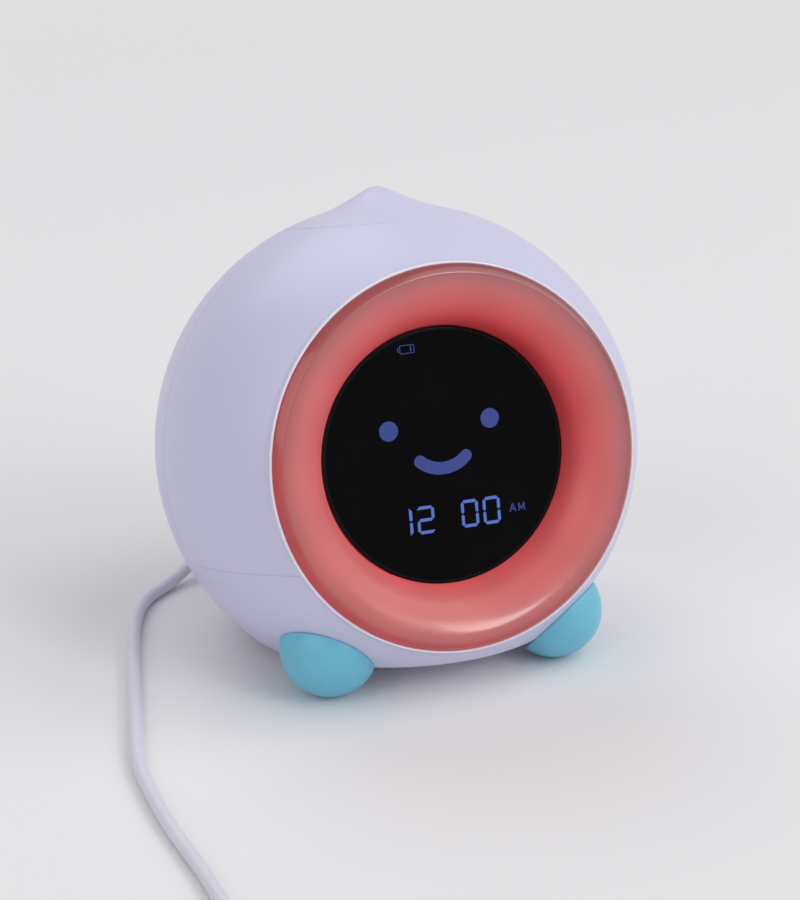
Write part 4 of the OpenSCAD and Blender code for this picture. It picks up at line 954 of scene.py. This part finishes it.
def key_patches(x_at, radius=4.0, round_r=0.5):
    """Polar grid over the key's end: out = sqrt(73^2 - x^2 - y^2) - 0.25 (1 - (r / 3)^2)^2 in
    the dish, less the fall of the rounded edge, then straight down to a flat inner end."""
    r = np.r_[np.linspace(0, radius - round_r, 26),
              radius - round_r + round_r * np.sin(np.linspace(0, np.pi / 2, 9))[1:]]
    t = np.linspace(0, 2 * np.pi, 73)
    t[-1] = 0
    x = x_at + r[:, None] * np.cos(t)
    y = KEY_UP + r[:, None] * np.sin(t)
    over = np.clip(r - (radius - round_r), 0, round_r)
    fall = round_r - np.sqrt(np.maximum(round_r**2 - over**2, 0))
    dish = np.where(r < DISH_R, DISH_DEEP * (1 - (r / DISH_R) ** 2) ** 2, 0)
    n = -(np.sqrt(KEY_BALL_R**2 - x * x - y * y) - fall[:, None] - dish[:, None])
    end = np.stack([x, y, n], axis=2)
    edge_r, edge_t = np.gradient(end, axis=0), np.gradient(end, axis=1)
    edge_t[:, [0, -1]] = ((end[:, 1] - end[:, -2]) / 2)[:, None]
    facing = np.cross(edge_t, edge_r)
    facing[0] = (0, 0, -1)
    wall = np.stack([end[-1], np.stack([x[-1], y[-1], np.full(len(t), KEY_INNER)], 1)])
    lid = np.stack([wall[1], np.broadcast_to([x_at, KEY_UP, KEY_INNER], wall[1].shape)])
    out = np.stack([np.cos(t), np.sin(t), 0 * t], 1)
    facing[-1] = out
    return [(place(end[::-1], FACE), facing[::-1] @ FACE),
            (place(wall[::-1], FACE), np.stack([out, out]) @ FACE),
            (place(lid[::-1], FACE), np.broadcast_to([0, 0, 1.0], lid.shape) @ FACE)]


for i in range(5):
    piece(f"key_{i + 1}_skin", mesh_of(f"key_{i + 1}", key_patches(KEY_PITCH * (i - 2))),
          body=f"key_{i + 1}", slot="turquoise", replaces=(f"key_{i + 1}",))

# %% [markdown]
# ## What the screen shows
#
# Under the glass a liquid-crystal screen lights a few fixed marks: two round eyes, a smiling
# mouth, the time in seven-segment digits, AM and a small battery. Most marks are a broad
# stroke: a middle line, given a width that falls to nothing in a half circle at its ends. The
# segments of a digit are cut to points. All are thin plates that lie on the glass, a few
# hundredths of a millimetre high, so that they show as brightly as the real ones.

# %% Strokes
MARK_LOW, MARK_HIGH = GLASS_N - 0.02, GLASS_N + 0.03


def plate(edges):
    """A thin plate between two edges, given as rows of a left and a right point (x, up)."""
    flat = np.concatenate([edges, np.full(edges.shape[:2] + (1,), MARK_HIGH)], axis=2)
    deep = flat.copy()
    deep[..., 2] = MARK_LOW
    out = np.broadcast_to([0, 0, 1.0], flat.shape)
    side = (edges[:, 1] - edges[:, 0]) / 2
    sides = np.concatenate([np.stack([-side, -side], 1), np.zeros((len(side), 2, 1))], axis=2)
    left_wall = np.stack([deep[:, 0], flat[:, 0]], axis=1)
    right_wall = np.stack([flat[:, 1], deep[:, 1]], axis=1)
    return [(place(flat, FACE), out @ FACE), (place(deep[:, ::-1], FACE), -out @ FACE),
            (place(left_wall, FACE), sides @ FACE), (place(right_wall, FACE), -sides @ FACE)]


def stroke(line, half):
    """A plate along a line (x, up), with round ends: half its width is sqrt(half^2 - d^2) at
    the distance d from the last point of the line."""
    line = np.asarray(line, float)
    first, last = unit(line[1] - line[0]), unit(line[-1] - line[-2])
    reach = half * np.cos(np.linspace(0, np.pi / 2, 10))
    fall = np.sqrt(np.maximum(half**2 - reach**2, 0))
    mid = np.concatenate([line[0] - first * reach[:, None], line[1:-1],
                          (line[-1] + last * reach[:, None])[::-1]])
    width = np.concatenate([fall, np.full(len(line) - 2, half), fall[::-1]])
    along = unit(np.gradient(mid, axis=0))
    side = np.stack([along[:, 1], -along[:, 0]], 1) * width[:, None]
    return plate(np.stack([mid - side, mid + side], axis=1))


def dot(x, up, radius):
    """A round plate: the shortest of strokes."""
    return stroke([(x, up), (x + 0.02, up)], radius)


def screen_marks(name, plates):
    """The piece that a set of plates makes."""
    return piece(name, mesh_of(name, plates), slot="screen")


print("marks reach from", round(MARK_LOW, 3), "to", round(MARK_HIGH, 3), "mm")

# %% The time
SEGMENTS = {"a": ((0, 2), (1, 2)), "b": ((1, 1), (1, 2)), "c": ((1, 0), (1, 1)),
            "d": ((0, 0), (1, 0)), "e": ((0, 0), (0, 1)), "f": ((0, 1), (0, 2)),
            "g": ((0, 1), (1, 1))}


def digit(lit, left, bottom=-21.2, width=4.45, height=7.1, half=0.45):
    """The lit segments of a seven-segment digit, from corner to corner of its square. A segment
    ends in a point 0.1 mm before the corner. Where it meets no other lit segment in an outer
    corner, its inner edge runs on through the corner and its end is cut slantwise."""
    size = np.array([width, height / 2])
    corners = [corner for name in lit for corner in SEGMENTS[name]]
    out = []
    for name in lit:
        ends = np.array(SEGMENTS[name], float) * size
        along = unit(ends[1] - ends[0])
        across = along[::-1] * [half, -half]
        inward = np.sign(size * [0.5, 1.0] - ends.mean(axis=0)) * (ends[0] == ends[1]) * half
        rows = []
        for corner, end, way in zip(SEGMENTS[name], ends, (along, -along)):
            lone = corner[1] != 1 and corners.count(corner) == 1
            tip = end + (inward - way * (half - 0.05) if lone else way * 0.10)
            shoulder = end + way * (half + (0.05 if lone else 0.10))
            row = [[tip, tip], [shoulder - across, shoulder + across]]
            rows += row[::-1] if rows else row
        out += plate(np.array(rows) + [left, bottom])
    return out


time_piece = screen_marks("time_marks", digit("bc", -16.3) + digit("abged", -9.5)
                          + digit("abcdef", 4.15) + digit("abcdef", 10.95))

# %% AM, battery and light sensor
AM_LINES = [((18.95, -18.85), (19.78, -16.75)), ((19.82, -16.75), (20.65, -18.85)),
            ((19.25, -18.2), (20.35, -18.2)), ((21.75, -18.85), (21.75, -16.85)),
            ((21.78, -16.87), (22.58, -18.5)), ((22.62, -18.5), (23.42, -16.87)),
            ((23.45, -16.85), (23.45, -18.85))]
case_line = fillet([(-8.6, 32.5), (-6.5, 32.5), (-6.5, 30.2), (-10.8, 30.2), (-10.8, 32.5),
                    (-8.7, 32.5)], [0, 0.35, 0.35, 0.35, 0.35, 0], 4)
end_line = fillet([(-10.95, 31.9), (-11.5, 31.8), (-11.5, 30.9), (-10.95, 30.8)],
                  [0, 0.2, 0.2, 0], 3)
level_line = [(-7.5, 31.85), (-7.5, 30.85)]
small_marks = []
for line, half in [(line, 0.21) for line in AM_LINES] + [
        (case_line, 0.13), (end_line, 0.13), (level_line, 0.24)]:
    small_marks += stroke(line, half)
small_piece = screen_marks("small_marks", small_marks)
sensor_piece = screen_marks("light_sensor", dot(4.49, 30.4, 0.4))

# %% Face
SMILE_AT, SMILE_R, EYE_R = np.array([-0.5, 7.0]), 10.6, 2.85
smile = np.radians(np.linspace(-132, -48, 33))
smile_line = SMILE_AT + SMILE_R * np.stack([np.cos(smile), np.sin(smile)], 1)
face_piece = screen_marks("face_marks", stroke(smile_line, 1.8)
                          + dot(-16.3, 8.9, EYE_R) + dot(14.9, 8.9, EYE_R))

# %% [markdown]
# ## Finishes
#
# A finish is a material whose colour, gloss and surface change a little from place to place,
# as moulded, handled parts do. Three effects are shared, and each is a node group that is
# built once and given its own values in every finish: the grain that a mould leaves, the
# smudges of handling, and the dust that settles on what faces up.

# %% Shared effects


def make_mould_grain():
    """Height = amount * (0.7 fine noise + 0.3 noise four times as large)."""
    tree, given, result = new_group(
        "mould_grain", [("Place", VECTOR, None), ("Scale", NUMBER, 2500.0),
                        ("Amount", NUMBER, 1.0)], ["Height"])
    fine = add(tree, "ShaderNodeTexNoise", {"Vector": given["Place"], "Scale": given["Scale"],
                                            "Detail": 2.0})
    quarter = calc(tree, "MULTIPLY", given["Scale"], 0.25)
    broad = add(tree, "ShaderNodeTexNoise", {"Vector": given["Place"], "Scale": quarter,
                                             "Detail": 1.0})
    part = calc(tree, "MULTIPLY", broad.outputs["Fac"], 0.3)
    both = calc(tree, "MULTIPLY_ADD", fine.outputs["Fac"], 0.7, part)
    output(tree, result, {"Height": calc(tree, "MULTIPLY", both, given["Amount"])})
    return tree


def make_handling():
    """Cloud = soft noise, and Smudge = how far it is from 0.25 to 0.80, from 0 to 1."""
    tree, given, result = new_group(
        "handling", [("Place", VECTOR, None), ("Scale", NUMBER, 40.0)], ["Smudge", "Cloud"])
    cloud = add(tree, "ShaderNodeTexNoise", {"Vector": given["Place"], "Scale": given["Scale"],
                                             "Detail": 3.0}).outputs["Fac"]
    output(tree, result, {"Smudge": rescale(tree, cloud, 0.25, 0.80, way="SMOOTHSTEP"),
                          "Cloud": cloud})
    return tree


def make_settled_dust():
    """Dust = amount * how much the surface faces up * specks of noise."""
    tree, given, result = new_group(
        "settled_dust", [("Place", VECTOR, None), ("Facing", VECTOR, None),
                         ("Amount", NUMBER, 0.1)], ["Dust"])
    parts = add(tree, "ShaderNodeSeparateXYZ", {0: given["Facing"]})
    upward = rescale(tree, parts.outputs["Z"], 0.35, 1.0, way="SMOOTHSTEP")
    specks = add(tree, "ShaderNodeTexNoise", {"Vector": given["Place"], "Scale": 900.0,
                                              "Detail": 4.0, "Roughness": 0.7})
    shown = rescale(tree, specks.outputs["Fac"], 0.48, 0.72)
    both = calc(tree, "MULTIPLY", upward, shown)
    output(tree, result, {"Dust": calc(tree, "MULTIPLY", both, given["Amount"])})
    return tree


GRAIN, HANDLING, DUST = make_mould_grain(), make_handling(), make_settled_dust()
print("shared effects:", [g.name for g in (GRAIN, HANDLING, DUST)])

# %% [markdown]
# ## Moulded plastic
#
# One recipe serves every part. Two close shades of its colour are mixed by cloudy noise,
# smudges make it a little glossier, the mould's grain lifts its surface, and dust lightens and
# dulls what faces up. A metal takes the same recipe with finer grain and no dust.

# %% The recipe for a finish
FINISH = {}
DUST_COLOUR = (0.72, 0.70, 0.68, 1)


def use_group(tree, group, **links):
    """The outputs of a shared effect with its own inputs."""
    return add(tree, "ShaderNodeGroup", links, node_tree=group).outputs


def finish(name, shade, other, rough=(0.38, 0.46), grain=0.4, height=0.012, cloud=40.0,
           dust=0.0, metal=0.0, **plain):
    """A material: colour between two shades by noise, roughness between two values by
    smudges, grain of a size and a height in millimetres, clouds so many to the metre, settled
    dust, and plain values for other inputs of the shader, with _ for each space."""
    material = bpy.data.materials.new(f"{name}_finish")
    material.use_nodes = True
    tree = material.node_tree
    shader = tree.nodes["Principled BSDF"]
    where = add(tree, "ShaderNodeTexCoord").outputs["Object"]
    hand = use_group(tree, HANDLING, Place=where, Scale=cloud)
    colour = mixed(tree, hand["Cloud"], (*shade, 1), (*other, 1))
    gloss = rescale(tree, hand["Smudge"], 0.0, 1.0, rough[1], rough[0])
    if dust:
        facing = add(tree, "ShaderNodeNewGeometry").outputs["Normal"]
        fall = use_group(tree, DUST, Amount=dust, Place=where, Facing=facing)["Dust"]
        colour = mixed(tree, fall, colour, DUST_COLOUR)
        gloss = calc(tree, "ADD", gloss, fall, clamp=True)
    tree.links.new(colour, shader.inputs["Base Color"])
    tree.links.new(gloss, shader.inputs["Roughness"])
    if height:
        rise = use_group(tree, GRAIN, Scale=1 / (grain * MM), Place=where)["Height"]
        bump = add(tree, "ShaderNodeBump", {"Height": rise, "Strength": 1.0,
                                            "Distance": height * MM})
        tree.links.new(bump.outputs["Normal"], shader.inputs["Normal"])
    shader.inputs["Metallic"].default_value = metal
    for key, value in plain.items():
        shader.inputs[key.replace("_", " ")].default_value = value
    FINISH[name] = material
    return material


# %% Plastics
finish("shell", (0.600, 0.585, 0.760), (0.625, 0.610, 0.790),
       rough=(0.30, 0.40), grain=0.35, height=0.010, cloud=30.0, dust=0.10)
finish("turquoise", (0.135, 0.480, 0.640), (0.160, 0.520, 0.690),
       rough=(0.28, 0.38), grain=0.35, height=0.010, cloud=45.0, dust=0.08)
finish("white_plastic", (0.74, 0.74, 0.72), (0.80, 0.80, 0.78),
       rough=(0.35, 0.5), grain=0.5, height=0.012, cloud=35.0, dust=0.15)
finish("dark_plastic", (0.020, 0.020, 0.023), (0.032, 0.032, 0.036),
       rough=(0.35, 0.5), grain=0.5, height=0.015, cloud=60.0, dust=0.10)
finish("socket", (0.62, 0.60, 0.54), (0.70, 0.68, 0.62),
       rough=(0.4, 0.5), grain=0.3, height=0.008, cloud=80.0)
finish("ribbon", (0.50, 0.22, 0.045), (0.60, 0.30, 0.07),
       rough=(0.3, 0.45), grain=0.5, height=0.005, cloud=120.0)
finish("lead", (0.690, 0.665, 0.745), (0.730, 0.705, 0.780),
       rough=(0.42, 0.52), grain=0.3, height=0.010, cloud=60.0, dust=0.08)
finish("tie", (0.055, 0.055, 0.060), (0.085, 0.085, 0.092),
       rough=(0.75, 0.9), grain=0.35, height=0.09, cloud=150.0, dust=0.2)
finish("wire", (0.32, 0.02, 0.02), (0.40, 0.03, 0.03),
       rough=(0.35, 0.5), grain=0.3, height=0.006, cloud=120.0)
finish("rubber", (0.035, 0.035, 0.037), (0.055, 0.055, 0.058),
       rough=(0.7, 0.85), grain=0.25, height=0.03, cloud=150.0, dust=0.35)
finish("cone_paper", (0.045, 0.042, 0.040), (0.075, 0.070, 0.066),
       rough=(0.8, 0.95), grain=0.5, height=0.08, cloud=180.0)
print("finishes:", len(FINISH))

# %% Metals, cells and boards
finish("steel", (0.52, 0.52, 0.53), (0.62, 0.62, 0.63),
       rough=(0.22, 0.38), grain=0.2, height=0.004, cloud=160.0, metal=1.0)
finish("nickel", (0.66, 0.63, 0.57), (0.74, 0.71, 0.65),
       rough=(0.14, 0.28), grain=0.2, height=0.003, cloud=160.0, metal=1.0)
finish("can", (0.58, 0.59, 0.60), (0.66, 0.67, 0.68),
       rough=(0.25, 0.38), grain=0.2, height=0.004, cloud=140.0, metal=1.0)
finish("cell", (0.035, 0.10, 0.055), (0.05, 0.13, 0.07),
       rough=(0.22, 0.32), grain=0.4, height=0.004, cloud=60.0)
finish("circuit_board", (0.012, 0.11, 0.04), (0.02, 0.15, 0.055),
       rough=(0.3, 0.5), grain=0.8, height=0.02, cloud=300.0)
finish("screen", (0.012, 0.013, 0.018), (0.02, 0.022, 0.03),
       rough=(0.1, 0.16), height=0.0, cloud=90.0)
finish("led", (0.80, 0.74, 0.60), (0.84, 0.78, 0.64),
       rough=(0.2, 0.3), grain=0.3, height=0.004, cloud=200.0,
       Emission_Color=(1.0, 0.35, 0.32, 1), Emission_Strength=2.0)
print("finishes:", len(FINISH))

# %% [markdown]
# ## The ring's glow, with painted light and shade
#
# Twelve small lamps shine into the ring from inside, so it glows most over its crown and a
# little more over each lamp. Its colour also holds painted light and shade. Where it falls to
# the glass it is deep red at the upper right, which is painted shade, and paler at the lower
# left, which is painted light, so two runs of colour, each from the glass to the outer edge,
# are blended round the ring. The plastic itself is kept dark and nearly grey, so the room's
# light only pales the glow. A point's place on the ring is its distance from the face's axis
# and its angle round it, so the pattern belongs to the part.

# %% Places on the ring
# The ring's painted shade is deepest at 40 degrees round the face, the upper right.
LAMPS, SHADED_SIDE = 12.0, np.radians(40.0)


def face_place(tree, where):
    """A Mapping that turns object coordinates into the face's own, in millimetres: axes times
    place, less the axes times the ball's middle."""
    turn = Matrix(FACE.tolist()).to_euler("XYZ")
    own = add(tree, "ShaderNodeMapping", {"Vector": where, "Location": tuple(-FACE @ HEAD),
                                          "Rotation": tuple(turn), "Scale": (1 / MM,) * 3})
    return own.outputs[0]


def make_turned_place():
    """With a = atan2(y, x) in the face's own place: Radius = sqrt(x^2 + y^2), Lamps = cos(12 a)
    and Side = 0.5 - 0.5 cos(a - 40 degrees), which is 0 at the upper right, in painted shade,
    and 1 at the lower left, in painted light."""
    tree, given, result = new_group("turned_place", [("Place", VECTOR, None)],
                                    ["Radius", "Lamps", "Side"])
    flat = add(tree, "ShaderNodeVectorMath", {0: given["Place"], 1: (1, 1, 0)},
               operation="MULTIPLY").outputs[0]
    radius = add(tree, "ShaderNodeVectorMath", {0: flat}, operation="LENGTH").outputs["Value"]
    parts = add(tree, "ShaderNodeSeparateXYZ", {0: given["Place"]}).outputs
    angle = calc(tree, "ARCTAN2", parts["Y"], parts["X"])
    wave = calc(tree, "COSINE", calc(tree, "MULTIPLY", angle, LAMPS))
    swing = calc(tree, "COSINE", calc(tree, "SUBTRACT", angle, SHADED_SIDE))
    output(tree, result, {"Radius": radius, "Lamps": wave,
                          "Side": calc(tree, "MULTIPLY_ADD", swing, -0.5, 0.5)})
    return tree


# %% Colours of the ring
# Each stop is a distance from the face's axis and a colour. The glow runs deep on one side and
# pale on the other, which is painted shade and painted light laid over the glow, darkest near
# the glass on the shaded side. The body is the plastic's colour, kept dark, and darker towards
# the outer edge.
SHADED_SIDE_GLOW = [(37.0, (0.200, 0.004, 0.005)), (38.0, (0.240, 0.005, 0.007)),
             (40.0, (0.395, 0.011, 0.012)), (42.0, (0.437, 0.020, 0.019)),
             (44.0, (0.444, 0.036, 0.035)), (48.0, (0.411, 0.056, 0.055)),
             (51.5, (0.305, 0.066, 0.071)), (52.6, (0.230, 0.045, 0.048)),
             (54.6, (0.180, 0.022, 0.024))]
LIT_SIDE_GLOW = [(37.0, (0.640, 0.075, 0.079)), (38.0, (0.630, 0.085, 0.088)),
             (40.0, (0.515, 0.088, 0.087)), (42.0, (0.525, 0.097, 0.093)),
             (44.0, (0.508, 0.075, 0.072)), (48.0, (0.484, 0.075, 0.074)),
             (51.5, (0.370, 0.056, 0.055)), (52.6, (0.375, 0.047, 0.046)),
             (54.6, (0.340, 0.030, 0.031))]
BODY = [(37.0, (0.070, 0.040, 0.043)), (41.0, (0.080, 0.052, 0.056)),
        (46.0, (0.085, 0.060, 0.064)), (51.5, (0.075, 0.050, 0.055)),
        (53.0, (0.050, 0.018, 0.020)), (54.6, (0.040, 0.010, 0.012))]


def ramp(tree, value, stops):
    """A colour that runs straight from each stop to the next."""
    low, high = stops[0][0], stops[-1][0]
    node = add(tree, "ShaderNodeValToRGB", {"Fac": rescale(tree, value, low, high)})
    while len(node.color_ramp.elements) < len(stops):
        node.color_ramp.elements.new(0.5)
    for element, (at, colour) in zip(node.color_ramp.elements, stops):
        element.position = (at - low) / (high - low)
        element.color = (*colour, 1)
    return node.outputs["Color"]


print("colour stops:", len(SHADED_SIDE_GLOW), len(LIT_SIDE_GLOW), len(BODY))

# %% Ring finish
# The recipe's own colours give way to the body's run of colour. Up to the crown the ring is
# matt with hardly any coat, over the crown it is polished and coated, and past the crease the
# coat falls to a tenth.
tree = finish("ring", BODY[0][1], BODY[-1][1], rough=(0.13, 0.19), height=0.003,
              cloud=35.0).node_tree
shader = tree.nodes["Principled BSDF"]
where = tree.nodes["Texture Coordinate"].outputs["Object"]
spot = use_group(tree, make_turned_place(), Place=face_place(tree, where))
deep, pale, body = (ramp(tree, spot["Radius"], stops) for stops in (SHADED_SIDE_GLOW, LIT_SIDE_GLOW, BODY))
stronger = rescale(tree, spot["Lamps"], -1.0, 1.0, 0.97, 1.03)
# The glow blends the shaded side's run into the lit side's: painted shade and painted light over
# the ring's own glow.
glow_with_painted_light = add(tree, "ShaderNodeVectorMath", {0: mixed(tree, spot["Side"], deep, pale),
                                          "Scale": stronger}, operation="SCALE").outputs[0]
matt = rescale(tree, spot["Radius"], 45.0, 50.0, 1.0, 0.0, way="SMOOTHSTEP")
polish = shader.inputs["Roughness"].links[0].from_socket
inner_coat = calc(tree, "MULTIPLY_ADD", matt, -0.37, 0.40)
outer_coat = rescale(tree, spot["Radius"], 52.2, 53.2, 1.0, 0.1)
output(tree, shader.inputs, {
    "Emission Color": glow_with_painted_light, "Base Color": body,
    "Roughness": calc(tree, "MULTIPLY_ADD", matt, 0.24, polish),
    "Coat Weight": calc(tree, "MULTIPLY", inner_coat, outer_coat)})
shader.inputs["Emission Strength"].default_value = 1.0
shader.inputs["Coat Roughness"].default_value = 0.08
print("nodes in the ring's finish:", len(tree.nodes))

# %% Glass, lip and marks
finish("window", (0.0018, 0.0018, 0.0023), (0.0028, 0.0028, 0.0034),
       rough=(0.03, 0.06), height=0.0, cloud=50.0, Specular_IOR_Level=0.04)
finish("bevel", (0.003, 0.003, 0.004), (0.005, 0.005, 0.006),
       rough=(0.04, 0.08), height=0.0, cloud=50.0, Specular_IOR_Level=0.10)
# The bead is nearly white, paler than the shell it edges, which is painted light: it shows as a
# bright line beside the glowing ring.
finish("lip", (0.86, 0.84, 0.91), (0.88, 0.86, 0.93),
       rough=(0.25, 0.35), grain=0.35, height=0.006, cloud=30.0)
for name, shade, other, light in (
        ("face_mark", (0.022, 0.030, 0.12), (0.026, 0.034, 0.13), (0.040, 0.056, 0.21, 1)),
        ("small_mark", (0.018, 0.024, 0.09), (0.022, 0.028, 0.10), (0.034, 0.044, 0.19, 1)),
        ("time_mark", (0.04, 0.07, 0.20), (0.05, 0.08, 0.22), (0.083, 0.137, 0.49, 1))):
    finish(name, shade, other, rough=(0.08, 0.12), height=0.0, cloud=90.0,
           Specular_IOR_Level=0.1, Emission_Color=light, Emission_Strength=0.75)
finish("sensor", (0.002, 0.002, 0.005), (0.003, 0.003, 0.007),
       rough=(0.10, 0.16), height=0.0, cloud=90.0, Specular_IOR_Level=0.05)
print("finishes:", len(FINISH))

# %% Giving every piece its finish
for node in frame["nodes"]:
    for held in bpy.data.objects[node].material_slots:
        held.material = FINISH[held.material.name.split(".")[0]]
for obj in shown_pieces():
    if "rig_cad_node" not in obj:
        obj.data.materials.append(FINISH[obj["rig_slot"]])
for obj, name in ((face_piece, "face_mark"), (time_piece, "time_mark"),
                  (small_piece, "small_mark"), (sensor_piece, "sensor"), (bevel, "bevel"),
                  (lip, "lip")):
    obj.data.materials[0] = FINISH[name]
